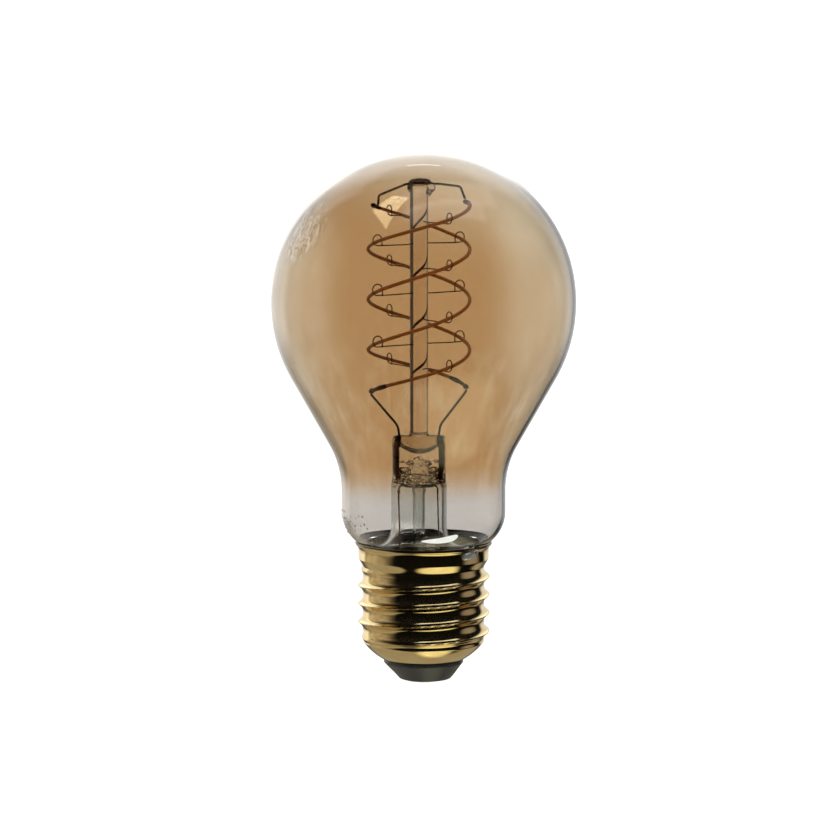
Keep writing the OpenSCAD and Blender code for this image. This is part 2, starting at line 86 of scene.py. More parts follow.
press_low, press_high = box_mm("stem_press")
STEM_X = (press_low.x + press_high.x) / 2
PRESS_HALF_WIDTH = (press_high.x - press_low.x) / 2
PRESS_HALF_DEPTH = (press_high.y - press_low.y) / 2
PRESS_TOP_Z = press_high.z
PRESS_EDGE_R = 0.8
PRESS_BLEND_Z = (38.8, 41.4)
JAW_MARK_DROP = 3.5
JAW_MARK_CURVE = 0.10
JAW_MARK_DEPTH = 0.62
flare_low, flare_high = box_mm("stem_flare")
FLARE_R = (flare_high.x - flare_low.x) / 2
FLARE_Z = flare_low.z
STEM_TUBE_R = 5.5
STEM_WALL = 0.8
HOLLOW_ROOF_Z = 39.2
HOLLOW_PEAK_Z = 44.9
ROD_R = 1.8
ROD_TOP_Z = 97.6
ROD_ROUNDING_Z = 98.95
ROD_END_Z = 99.25
EXHAUST_R = 1.18
EXHAUST_WALL = 0.4
LEAD_SPREAD = 3.87
LEAD_R = 0.24
SEAL_R = 0.3
SEAL_LOW_Z = box_mm("seal_wire_left")[0].z

HELIX_R = 9.95
HELIX_TOP_Z = 94.0
HELIX_DROP = 37.1
HELIX_EASE = 0.0166
HELIX_END = 700
STRAND_START = (23, -25)
STRAND_LIFT = (0.9, 0.0)
FILAMENT_R = 0.36
CHIP_PITCH = 1.35
UPPER_CLIP_TURN = 16
LOWER_CLIP_TURN = 31
CLIP_R = 0.55
SUPPORTS_EACH = 7
SUPPORT_FIRST = 55
SUPPORT_STEP = 90
SUPPORT_R = 0.12
LOOP_R = 1.05
TAIL_OFFSET = 0.32

CREST_R = 13.1
GROOVE_R = 12.05
THREAD_PITCH = 3.629
CREST_Z = 15.3
CREST_ROUNDING = 0.06
SKIRT_R = 12.9
SKIRT_Z = 22.9
FLARE_START_Z = 25.0
LIP_R = 13.5
LIP_Z = 27.5
SHEET = 0.3
THREAD_BOTTOM_Z = 7.6
THREAD_FADE = 1.3
DOME_R = 12.3
DOME_RIM = (11.95, 7.65)
DOME_HOLE = (7.95, 4.2)
NOTCH_ANGLE = -39
SOLDER_ANGLE = -48
# painted highlight: where the white leaf on the glass above the lip lies, in degrees and millimetres
PAINTED_HIGHLIGHT_START, PAINTED_HIGHLIGHT_END = -91.6, -64.7
PAINTED_HIGHLIGHT_Z = 29.77
PAINTED_HIGHLIGHT_RISE = 0.85
PAINTED_HIGHLIGHT_HALF = 0.8
CONTACT_EDGE_R = 4.2
CONTACT_TOP_Z = 0.93
RIVET_R = 1.6
RIVET_HEAD_R = 2.3
RIVET_BORE_R = 0.9
INSULATOR_FOOT_R = 5.3
INSULATOR_TOP_R = 7.9

CAMERA_PLACE = (-0.0007, -0.700, 0.1302)
CAMERA_TILT = 83.6
CAMERA_LENS = 153.4
FLOOR_SIZE = 4.0

SIDES = ("left", "right")


# ---------------------------------------------------------------- geometry helpers
def mix(a, b, t):
    return a + (b - a) * t


def ease(t):
    u = min(max(t, 0.0), 1.0)
    return u * u * (3 - 2 * u)


def polar(radius, angle, z):
    turn = math.radians(angle)
    return Vector((radius * math.cos(turn), radius * math.sin(turn), z))


def turns(count):
    """Angles that share out a full turn, in radians."""
    return [2 * math.pi * s / count for s in range(count)]


def arc(centre, radius, start, end, steps):
    """Points of a circular arc in a half section, as (radius, height)."""
    angles = [math.radians(mix(start, end, i / steps)) for i in range(steps + 1)]
    return [(centre[0] + radius * math.cos(a), centre[1] + radius * math.sin(a)) for a in angles]


def straight(start, end, steps):
    """Points between two ends, without the ends."""
    return [(mix(start[0], end[0], i / steps), mix(start[1], end[1], i / steps)) for i in range(1, steps)]


def wobble(point, scale, seed):
    """Smooth noise between about -1 and 1 at a point in millimetres."""
    return noise.noise(Vector(point) * scale + Vector((seed * 17.3, seed * 5.9, seed * 11.1)))


def smooth_max(values, sharpness):
    """The largest value, with a smooth change where another takes over."""
    return math.log(sum(math.exp(sharpness * value) for value in values)) / sharpness


def finish_mesh(name, points, faces, look, sharp=80):
    """A smooth mesh object from points in millimetres, its normals pointing out."""
    mesh = bpy.data.meshes.new(name)
    mesh.from_pydata((np.array(points, float) * MM).tolist(), [], faces)
    mesh.materials.append(look)
    shape = bmesh.new()
    shape.from_mesh(mesh)
    bmesh.ops.recalc_face_normals(shape, faces=shape.faces)
    shape.to_mesh(mesh)
    shape.free()
    mesh.shade_smooth()
    mesh.set_sharp_from_angle(angle=math.radians(sharp))
    made = bpy.data.objects.new(name, mesh)
    bpy.context.scene.collection.objects.link(made)
    return made


def add_piece(made, slot, *nodes):
    """Rides the piece on the one body, in the place of its CAD nodes."""
    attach(made, BODY)
    if nodes:
        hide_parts(*nodes)


def skin(rings, closed=False):
    """Points and faces of a surface through rings of points. A ring of one point is a pole."""
    points, starts = [], []
    for ring in rings:
        starts.append(len(points))
        points.extend(ring)
    faces = []
    pairs = list(zip(range(len(rings) - 1), range(1, len(rings))))
    if closed:
        pairs.append((len(rings) - 1, 0))
    for low, high in pairs:
        a, b = starts[low], starts[high]
        n = max(len(rings[low]), len(rings[high]))
        for s in range(n):
            t = (s + 1) % n
            below = [a + s, a + t] if len(rings[low]) > 1 else [a]
            faces.append(below + ([b + t, b + s] if len(rings[high]) > 1 else [b]))
    return points, faces


def gather(parts):
    """Several surfaces, each with its points and faces, as one."""
    points, faces = [], []
    for new_points, new_faces in parts:
        start = len(points)
        points.extend(new_points)
        faces.extend([[start + i for i in face] for face in new_faces])
    return points, faces


def ball(subdivisions, place):
    """A closed surface whose points place(direction) puts, for directions all round."""
    shape = bmesh.new()
    bmesh.ops.create_icosphere(shape, subdivisions=subdivisions, radius=1.0)
    points = [tuple(place(v.co)) for v in shape.verts]
    faces = [[v.index for v in face.verts] for face in shape.faces]
    shape.free()
    return points, faces


def lathe(name, outline, segments, look, centre_x=0.0, closed=True, change=None, sharp=55):
    """A body turned round an upright axis. The outline is (radius, height) points; one on the axis is a pole.
    change(radius, height, angle) may return a new radius and height."""
    rings = []
    for radius, height in outline:
        if radius < 1e-6:
            rings.append([(centre_x, 0.0, height)])
            continue
        ring = []
        for angle in turns(segments):
            r, z = change(radius, height, angle) if change else (radius, height)
            ring.append((centre_x + r * math.cos(angle), r * math.sin(angle), z))
        rings.append(ring)
    return finish_mesh(name, *skin(rings, closed), look, sharp)


def route(path, reach, step):
    """A wire's path through points, with round corners that start reach before them, and points at most a step
    apart. A reach of 0 keeps the corners."""
    path = [Vector(p) for p in path]
    if reach:
        bends = [path[0]]
        for before, corner, after in zip(path, path[1:], path[2:]):
            a = corner + (before - corner).normalized() * min(reach, (before - corner).length / 2)
            b = corner + (after - corner).normalized() * min(reach, (after - corner).length / 2)
            bends += [a.lerp(corner, i / 5).lerp(corner.lerp(b, i / 5), i / 5) for i in range(6)]
        path = bends + [path[-1]]
    points = [path[0]]
    for a, b in zip(path, path[1:]):
        count = max(1, math.ceil((b - a).length / step))
        points += [a.lerp(b, i / count) for i in range(1, count + 1)]
    return points


def swept_rings(path, radius, sides, flatten):
    """Rings of a round tube along a path, with rounded ends. radius is a number, or a function of share and
    length along the path; flatten squeezes the section across its first normal."""
    path = [Vector(p) for p in path]
    last = len(path) - 1
    tangents = [(path[min(i + 1, last)] - path[max(i - 1, 0)]).normalized() for i in range(last + 1)]
    lengths = [0.0]
    for a, b in zip(path, path[1:]):
        lengths.append(lengths[-1] + (b - a).length)
    up = Vector((0, 0, 1)) if abs(tangents[0].z) < 0.9 else Vector((0, 1, 0))
    normal = (up - up.dot(tangents[0]) * tangents[0]).normalized()
    end_bulge = 0.6
    rings = []

    def ring(centre, tangent, size):
        side = tangent.cross(normal)
        return [tuple(centre + size * (flatten * math.cos(a) * normal + math.sin(a) * side))
                for a in turns(sides)]

    def size_at(i):
        return radius(lengths[i] / lengths[-1], lengths[i]) if callable(radius) else radius

    def cap(i, sign):
        """Rings of a rounded end, from its tip to just short of the full section."""
        out = sign * tangents[i] * size_at(i) * end_bulge
        found = [[tuple(path[i] + out)]]
        for turn in (math.radians(20), math.radians(42), math.radians(66)):
            found.append(ring(path[i] + out * math.cos(turn), tangents[i], size_at(i) * math.sin(turn)))
        return found

    for i in range(last + 1):
        normal = (normal - normal.dot(tangents[i]) * tangents[i]).normalized()
        if i == 0:
            rings += cap(0, -1)
        rings.append(ring(path[i], tangents[i], size_at(i)))
    return rings + cap(last, 1)[::-1]


def sweep(name, path, radius, sides, look, flatten=1.0):
    """A closed round body along a path."""
    return finish_mesh(name, *skin(swept_rings(path, radius, sides, flatten)), look)


# ---------------------------------------------------------------- shader helpers
class Nodes:
    """Short ways to add and join the nodes of a material or a world."""

    def __init__(self, owner):
        owner.use_nodes = True
        self.tree = owner.node_tree

    def node(self, kind, **settings):
        made = self.tree.nodes.new(kind)
        for key, value in settings.items():
            setattr(made, key, value)
        return made

    def give(self, target, value):
        """Joins a socket to the target, or gives the target a plain value."""
        if isinstance(value, bpy.types.NodeSocket):
            self.tree.links.new(value, target)
        else:
            target.default_value = value

    def operate(self, kind, how, *values):
        made = self.node(kind, operation=how)
        for target, value in zip(made.inputs, values):
            self.give(target, value)
        return made.outputs

    def maths(self, how, first, second=0.0):
        return self.operate("ShaderNodeMath", how, first, second)[0]

    def plus(self, first, second):
        return self.maths("ADD", first, second)

    def minus(self, first, second):
        return self.maths("SUBTRACT", first, second)

    def times(self, first, second):
        return self.maths("MULTIPLY", first, second)

    def vectors(self, how, *values):
        return self.operate("ShaderNodeVectorMath", how, *values)

    def split(self, vector):
        made = self.node("ShaderNodeSeparateXYZ")
        self.give(made.inputs[0], vector)
        return made.outputs

    def span(self, source, low, high, to_low=0.0, to_high=1.0, how="LINEAR"):
        """The source carried from one range to another, and held at its ends."""
        made = self.node("ShaderNodeMapRange", interpolation_type=how)
        for target, value in zip(made.inputs, (source, low, high, to_low, to_high)):
            self.give(target, value)
        return made.outputs[0]

    def rise(self, source, low, high, top=1.0):
        """A smooth change from 0 where the source is low to top where it is high."""
        return self.span(source, low, high, 0.0, top, "SMOOTHSTEP")


class Look(Nodes):
    """A material with one Principled shader, fed from procedural nodes. Its place is in millimetres."""

    def __init__(self, name, **plain):
        self.material = bpy.data.materials.new(name)
        super().__init__(self.material)
        self.shader = self.tree.nodes["Principled BSDF"]
        self.coordinates = self.node("ShaderNodeTexCoord").outputs
        self.place = self.vectors("SCALE", self.coordinates["Object"], (0, 0, 0), (0, 0, 0), 1 / MM)[0]
        for socket, value in plain.items():
            self.feed(socket.replace("_", " "), value)

    def feed(self, socket, value):
        self.give(self.shader.inputs[socket], value)

    def noise(self, size, detail=3.0, rough=0.55, turn=0.0):
        """Noise with features of a size, or of three sizes along X, Y and Z that lean over by turn."""
        sizes = size if isinstance(size, tuple) else (size,) * 3
        mapping = self.node("ShaderNodeMapping")
        mapping.inputs["Rotation"].default_value = (0, math.radians(turn), 0)
        mapping.inputs["Scale"].default_value = [1 / s for s in sizes]
        self.give(mapping.inputs["Vector"], self.place)
        made = self.node("ShaderNodeTexNoise")
        for socket, value in (("Vector", mapping.outputs[0]), ("Scale", 1.0), ("Detail", detail),
                              ("Roughness", rough)):
            self.give(made.inputs[socket], value)
        return made.outputs["Fac"]

    def blend(self, share, first, second):
        """A mix of two colours, each a tuple or a socket."""
        made = self.node("ShaderNodeMix", data_type="RGBA")
        self.give(made.inputs[0], share)
        for index, colour in ((6, first), (7, second)):
            self.give(made.inputs[index], (*colour, 1) if isinstance(colour, tuple) else colour)
        return made.outputs[2]

    def bump(self, source, depth, strength=1.0):
        """The finished material, with a bump of a depth in millimetres."""
        made = self.node("ShaderNodeBump")
        for socket, value in (("Distance", depth * MM), ("Strength", strength), ("Height", source)):
            self.give(made.inputs[socket], value)
        self.feed("Normal", made.outputs["Normal"])
        return self.material


# ---------------------------------------------------------------- materials
def envelope_look():
    """Glass with an amber coating that fades out at the neck. Its paler sides and top, and pale streaks low
    down, are painted reflection; pale marks with dark rims at the upper left are painted highlight, and one dark
    run down the left of the flank is painted shade."""
    look = Look("amber_glass", Roughness=0.0, IOR=1.5, Transmission_Weight=1.0)
    x, y, z = look.split(look.place)
    cloud = look.times(look.span(look.noise((9, 9, 22), 2.0), 0.3, 0.7, -1.0, 1.0), 2.5)
    across = look.plus(x, cloud)
    # painted reflection: the amber is drawn paler towards the right and left sides and the top, where the glass
    # mirrors the room
    right = look.plus(look.rise(across, 10.5, 21.5, 0.62), look.span(across, 23, 29, 0, 0.4))
    left = look.rise(across, -13, -29, 0.95)
    top = look.rise(look.plus(z, look.times(x, 0.35)), 84, 106, 0.85)
    # painted reflection: pale upright streaks low on the globe, drawn into the coating
    painted_streak_sheen = look.span(look.noise((2.6, 2.6, 40), 2.0), 0.5, 0.62, 0.0, 0.34)
    painted_streak_sheen = look.times(painted_streak_sheen, look.rise(z, 74, 54))
    painted_sheen = look.plus(look.plus(right, left), look.plus(top, painted_streak_sheen))
    amber = look.blend(painted_sheen, (0.675, 0.505, 0.322), (0.80, 0.715, 0.585))

    # painted highlight: pale leaning marks at the upper left, each with a painted dark rim, drawn into the
    # coating
    marks = look.noise((0.9, 1.5, 9.0), 2.0, 0.5, turn=-32)
    near = look.rise(look.vectors("DISTANCE", look.place, (-22.0, -11.0, 89.0))["Value"], 8, 5)
    painted_glint = look.times(look.span(marks, 0.52, 0.56), near)
    painted_glint_rim = look.times(look.span(marks, 0.44, 0.50, 0.0, 0.6), near)
    amber = look.blend(painted_glint, look.blend(painted_glint_rim, amber, (0.42, 0.33, 0.24)), (0.99, 0.98, 0.96))

    edge = look.times(look.noise((7, 7, 30), 1.0), 1.6)
    coated = look.blend(look.rise(look.plus(z, edge), 36.9, 42.5), (0.755, 0.73, 0.70), amber)
    # painted shade: the amber is drawn dark brown in one run near the left outline of the flank
    around = look.maths("ABSOLUTE", look.maths("DIVIDE", y, look.maths("MINIMUM", x, -1)))
    stretch = look.times(look.rise(z, 60, 52), look.rise(z, 34, 42))
    run = look.times(look.times(look.rise(around, 0.27, 0.12), stretch), look.span(x, -10, -12, 0, 0.95))
    look.feed("Base Color", look.blend(run, coated, (0.24, 0.15, 0.09)))
    return look.bump(look.noise((9.0, 9.0, 30.0), 1.0), 0.010)


def clear_glass_look(name, tint, ripple, press_top=None):
    """Clear glass with a faint tint and drawn ripples along its length. Where a press_top is given, the glass is
    tinted greyer above the curved lower edge of the jaws' mark, as painted shade."""
    look = Look(name, Roughness=0.0, IOR=1.5, Transmission_Weight=1.0)
    shade = look.span(look.noise((2.0, 2.0, 9.0), 2.0), 0.3, 0.7)
    glass = look.blend(shade, tint, tuple(c * 0.93 for c in tint))
    if press_top:
        x, _, z = look.split(look.place)
        curve = look.times(look.maths("POWER", look.minus(x, STEM_X), 2.0), -JAW_MARK_CURVE)
        edge = press_top - JAW_MARK_DROP
        # painted shade: the glass is tinted grey above the curved lower edge of the jaws' mark
        painted_press_shade = look.span(look.plus(z, curve), edge - 0.1, edge + 0.3)
        glass = look.blend(painted_press_shade, glass, (0.66, 0.62, 0.53))
    look.feed("Base Color", glass)
    return look.bump(look.noise((1.2, 1.2, 5.0), 1.0), ripple)


def phosphor_look():
    """Orange silicone over a row of chips: a soft skin with fine grains."""
    look = Look("phosphor_silicone", Subsurface_Weight=0.15, Subsurface_Scale=0.0004)
    grain = look.span(look.noise(0.35, 4.0, 0.65), 0.32, 0.68)
    look.feed("Base Color", look.blend(grain, (0.40, 0.16, 0.045), (0.64, 0.30, 0.10)))
    look.feed("Roughness", look.span(grain, 0, 1, 0.36, 0.5))
    return look.bump(look.noise(0.22, 3.0), 0.02, 0.6)


def metal_look(name, light, dark, rough, patch, scratch, depth, metallic=1.0):
    """Metal with patches of tarnish and drawn or rolled marks. patch and scratch are feature sizes."""
    look = Look(name, Metallic=metallic)
    tarnish = look.span(look.noise(patch, 4.0, 0.6), 0.35, 0.68)
    marks = look.noise(scratch, 3.0, 0.6)
    look.feed("Base Color", look.blend(tarnish, light, dark))
    look.feed("Roughness", look.plus(look.span(tarnish, 0, 1, *rough), look.span(marks, 0, 1, 0, 0.06)))
    return look.bump(marks, depth, 0.5)


def brass_look():
    """Bright rolled brass with faint drawn rings, dull and dark round its lip, with painted shade on its inner
    faces: dark, rough and not metallic there.
    """
    look = Look("cap_brass")
    tarnish = look.span(look.noise((3.5, 3.5, 2.0), 4.0, 0.6), 0.35, 0.68)
    marks = look.noise((1.4, 1.4, 0.12), 3.0, 0.6)
    lip = look.rise(look.split(look.place)["Z"], LIP_Z - 0.26, LIP_Z - 0.14)
    # painted shade: faces turned towards the axis, inside the cap, are drawn dark, rough and not metallic
    outward = look.vectors("MULTIPLY", look.place, (1, 1, 0))[0]
    facing = look.vectors("DOT_PRODUCT", outward, look.coordinates["Normal"])["Value"]
    inside = look.span(facing, 0.2, -0.2)
    bright = look.blend(tarnish, (0.86, 0.70, 0.38), (0.78, 0.58, 0.27))
    look.feed("Base Color", look.blend(look.maths("MAXIMUM", lip, inside), bright, (0.10, 0.085, 0.04)))
    rough = look.plus(look.span(tarnish, 0, 1, 0.05, 0.10), look.span(marks, 0, 1, 0, 0.06))
    rough = look.plus(rough, look.times(lip, 0.2))
    look.feed("Roughness", look.plus(rough, look.times(inside, 0.6)))
    look.feed("Metallic", look.minus(1.0, inside))
    return look.bump(marks, 0.004, 0.5)


def grainy_look(name, light, dark, rough, grain, depth):
    """Moulded glass, cement or ferrite: a grainy body."""
    look = Look(name)
    spots = look.span(look.noise(grain, 5.0, 0.62), 0.3, 0.7)
    look.feed("Base Color", look.blend(spots, dark, light))
    look.feed("Roughness", look.span(spots, 0, 1, *rough))
    fine = tuple(g * 0.6 for g in grain) if isinstance(grain, tuple) else grain * 0.6
    return look.bump(look.noise(fine, 4.0), depth)


def plastic_look(name, light, dark, rough, grain, depth, coat=0.0):
    """Moulded or lacquered plastic with a fine skin."""
    look = Look(name, Coat_Weight=coat, Coat_Roughness=0.08)
    spots = look.span(look.noise(grain, 3.0), 0.3, 0.7)
    look.feed("Base Color", look.blend(spots, dark, light))
    look.feed("Roughness", look.span(spots, 0, 1, *rough))
    return look.bump(look.noise(grain * 0.5, 3.0), depth)


def board_look(name, mask, copper):
    """A circuit board: solder mask over raised tracks, with the glass weave just showing."""
    look = Look(name, Coat_Weight=0.3, Coat_Roughness=0.15)
    upright = look.node("ShaderNodeMapping")
    upright.inputs["Rotation"].default_value = (math.radians(90), 0, 0)
    look.give(upright.inputs["Vector"], look.place)
    brick = look.node("ShaderNodeTexBrick", offset=0.5, squash=1.0)
    sizes = {"Scale": 1.0, "Mortar Size": 0.12, "Brick Width": 2.6, "Row Height": 0.8}
    for socket, value in {"Vector": upright.outputs[0], **sizes}.items():
        look.give(brick.inputs[socket], value)
    tracks = brick.outputs["Fac"]
    weave = look.span(look.noise(0.4, 2.0), 0.3, 0.7, 0.0, 0.35)
    board = look.blend(tracks, mask, copper)
    look.feed("Base Color", look.blend(weave, board, tuple(c * 0.6 for c in mask)))
    look.feed("Roughness", look.span(weave, 0, 0.35, 0.3, 0.45))
    return look.bump(tracks, 0.035)


# A metal has its clean colour first and then its tarnished one, and a solid body its light and then its dark.
# After the colours come the range of roughness, the feature sizes in millimetres and the depth of the bump.
GLASS = envelope_look()
STEM_GLASS = clear_glass_look("stem_glass", (0.93, 0.94, 0.92), 0.006, PRESS_TOP_Z)
ROD_GLASS = clear_glass_look("rod_glass", (0.94, 0.90, 0.87), 0.004)
SEED_GLASS = clear_glass_look("seed_glass", (0.80, 0.78, 0.74), 0.004)
PHOSPHOR = phosphor_look()
CLIP = metal_look("clip_metal", (0.15, 0.09, 0.05), (0.05, 0.03, 0.02),
                  (0.35, 0.5), 0.7, (0.1, 0.1, 0.5), 0.02)
WIRE = metal_look("support_metal", (0.34, 0.26, 0.18), (0.17, 0.12, 0.08), (0.36, 0.48), 1.2, 0.1, 0.008)
COPPER = metal_look("copper_wire", (0.50, 0.26, 0.14), (0.22, 0.11, 0.07), (0.3, 0.4), 1.0, 0.1, 0.008)
DUMET = metal_look("dumet_wire", (0.34, 0.17, 0.09), (0.10, 0.05, 0.03), (0.35, 0.5), 1.0, 0.1, 0.008)
BRASS = brass_look()
CONTACT = metal_look("contact_brass", (0.80, 0.62, 0.32), (0.55, 0.40, 0.22),
                     (0.22, 0.4), 0.9, (0.2, 1.5, 0.2), 0.01)
SOLDER = metal_look("solder_tin", (0.86, 0.87, 0.88), (0.50, 0.50, 0.51), (0.24, 0.42), 0.5, 0.3, 0.02, 0.88)
SHIELD = metal_look("shield_metal", (0.70, 0.70, 0.68), (0.50, 0.50, 0.49),
                    (0.28, 0.42), 1.5, (0.15, 2.0, 2.0), 0.006)
INSULATOR = grainy_look("insulator_glass", (0.022, 0.024, 0.021), (0.010, 0.011, 0.010),
                        (0.26, 0.38), 0.5, 0.02)
CEMENT = grainy_look("basing_cement", (0.62, 0.52, 0.40), (0.15, 0.12, 0.09), (0.75, 0.95), 0.8, 0.12)
# painted highlight: the near-white material of the leaf on the glass above the lip
PAINTED_HIGHLIGHT = grainy_look("painted_highlight_white", (0.80, 0.82, 0.77), (0.62, 0.64, 0.58),
                    (0.3, 0.45), (1.6, 1.6, 0.5), 0.01)
FERRITE = grainy_look("ferrite_core", (0.11, 0.11, 0.11), (0.06, 0.06, 0.06), (0.55, 0.7), 0.3, 0.02)
RESISTOR = grainy_look("resistor_body", (0.30, 0.50, 0.46), (0.20, 0.36, 0.33), (0.3, 0.45), 0.8, 0.01)
CHIP = plastic_look("chip_plastic", (0.050, 0.050, 0.052), (0.030, 0.030, 0.031), (0.5, 0.65), 0.15, 0.008)
SLEEVE = plastic_look("capacitor_sleeve", (0.045, 0.045, 0.07), (0.03, 0.03, 0.05),
                      (0.25, 0.35), 0.9, 0.006, 0.4)
INSULATION = plastic_look("wire_insulation", (0.48, 0.06, 0.04), (0.36, 0.04, 0.03), (0.4, 0.55), 0.5, 0.01)
BOARD = board_look("circuit_board", (0.03, 0.16, 0.07), (0.10, 0.30, 0.12))
RADIO_BOARD = board_look("radio_board", (0.02, 0.05, 0.20), (0.06, 0.12, 0.32))


# ---------------------------------------------------------------- glass envelope
def envelope_outline(inset):
    """The envelope's outline from the top of the globe to the glass inside the cap, drawn in by inset."""
    flank = math.radians(FLANK_ANGLE)
    run = (GLOBE_R * math.cos(flank) - NECK_R - WAIST_CURVE_R * (1 - math.cos(flank))) / math.sin(flank)
    foot_z = GLOBE_Z - GLOBE_R * math.sin(flank) - run * math.cos(flank)
    waist_z = foot_z - WAIST_CURVE_R * math.sin(flank)
    shoulder_centre = (NECK_R - SHOULDER_R, SHOULDER_Z)
    turn = math.degrees(math.acos((ROOT_R - inset - shoulder_centre[0]) / (SHOULDER_R - inset)))
    globe = arc((0, GLOBE_Z), GLOBE_R - inset, 90, -FLANK_ANGLE, 84)
    globe[0] = (0.0, globe[0][1])
    waist = arc((NECK_R + WAIST_CURVE_R, waist_z), WAIST_CURVE_R + inset, 180 - FLANK_ANGLE, 180, 26)
    shoulder = arc(shoulder_centre, SHOULDER_R - inset, 0, -turn, 26)
    return globe + straight(globe[-1], waist[0], 18) + waist + straight(waist[-1], shoulder[0], 4) + shoulder


def envelope_change(radius, height, angle):
    """Blown glass isn't quite true: it has long soft waves."""
    place = (30 * math.cos(angle), 30 * math.sin(angle), height * 0.45)
    fade = ease((radius - 4) / 12) * ease((height - ROOT_Z - 3) / 8)
    return radius - fade * 0.05 * (1 + wobble(place, 0.09, 3)), height


def build_envelope():
    """The glass with its wall. Mirrored rays pass it by, so that the cap and stem mirror the plain room."""
    outer, inner = envelope_outline(0), envelope_outline(GLASS_WALL)
    lip_r = ROOT_R - ROOT_LIP
    lip_z = ROOT_Z + GLASS_WALL + 0.1
    root = [(ROOT_R, ROOT_Z + 0.3), (ROOT_R - 0.1, ROOT_Z + 0.07), (ROOT_R - 0.4, ROOT_Z),
            (lip_r + 0.2, ROOT_Z), (lip_r, ROOT_Z + 0.2), (lip_r, lip_z - 0.2), (lip_r + 0.2, lip_z),
            (ROOT_R - GLASS_WALL - 0.3, lip_z + 0.1), (ROOT_R - GLASS_WALL, lip_z + 0.5)]
    outline = outer + straight(outer[-1], root[0], 4) + root + straight(root[-1], inner[-1], 4) + inner[::-1]
    made = lathe("globe_glass", outline, 256, GLASS, closed=False, change=envelope_change)
    made.visible_glossy = False
    add_piece(made, "envelope_glass", "glass_bulb")


def outer_radius_at(height, outline=tuple(envelope_outline(0))):
    """Radius of the envelope's outside at a height."""
    for (r0, z0), (r1, z1) in zip(outline, outline[1:]):
        if z1 <= height <= z0:
            return mix(r1, r0, (height - z1) / max(z0 - z1, 1e-9))
    return ROOT_R


def build_seeds():
    """Seeds and splashes on the glass: a crowd of small drops at one side of the neck, and a few elsewhere."""
    chance = random.Random(7)

    def drop(angle, height, size):
        slope = (outer_radius_at(height + 0.4) - outer_radius_at(height - 0.4)) / 0.8
        wall = outer_radius_at(height)
        out = Vector((math.cos(angle), math.sin(angle), -slope)).normalized()
        along = Vector((-math.sin(angle), math.cos(angle), 0))
        up = out.cross(along)
        centre = Vector((wall * math.cos(angle), wall * math.sin(angle), height)) + out * size * 0.05
        stretch = chance.uniform(0.8, 1.5)
        rings = [[tuple(centre + out * size * 0.45)]]
        for turn in (30, 60, 90, 130):
            wide = math.sin(math.radians(turn)) * size
            deep = math.cos(math.radians(turn)) * size * 0.45
            rings.append([tuple(centre + out * deep + wide * (math.cos(a) * along + stretch * math.sin(a) * up))
                          for a in turns(10)])
        rings.append([tuple(centre - out * size * 0.4)])
        return skin(rings)

    drops = [drop(math.radians(chance.gauss(-152, 13)), chance.gauss(31.0, 2.0), chance.uniform(0.07, 0.24))
             for _ in range(70)]
    drops += [drop(chance.uniform(0, 2 * math.pi), chance.uniform(30, 101), chance.uniform(0.04, 0.10))
              for _ in range(90)]
    add_piece(finish_mesh("glass_seeds", *gather(drops), SEED_GLASS), "envelope_glass")


# ---------------------------------------------------------------- stem
def stem_section(half_width, half_depth, z, swell=None):
    """A ring between a circle and a flat pressed block with round ends."""
    ring = []
    for a in turns(128):
        spread = max(-1.0, min(1.0, 1.35 * math.sin(math.pi / 2 * math.cos(a))))
        x = half_depth * math.cos(a) + (half_width - half_depth) * spread
        y = half_depth * math.sin(a)
        if swell:
            x, y = swell(x, y, z)
        ring.append((STEM_X + x, y, z))
    return ring


def pinch(x, y, z):
    """Marks of the jaws: a shallow hollow on both faces, its lower edge a wide curve, and uneven sides."""
    edge_z = PRESS_TOP_Z - JAW_MARK_DROP + JAW_MARK_CURVE * x * x
    inside = ease((z - edge_z) / 0.5)
    depth = JAW_MARK_DEPTH * inside * ease((PRESS_TOP_Z + 0.2 - z) / 0.9) * ease((4.3 - abs(x)) / 0.9)
    lump = 0.10 * wobble((x, y, z), 0.55, 5) + 0.16 * inside * wobble((x, y, z), 2.1, 8)
    side = 1 if y > 0 else -1
    return x * (1 + 0.012 * wobble((x, y, z), 0.5, 9)), y - side * ease(abs(y)) * (depth + lump)


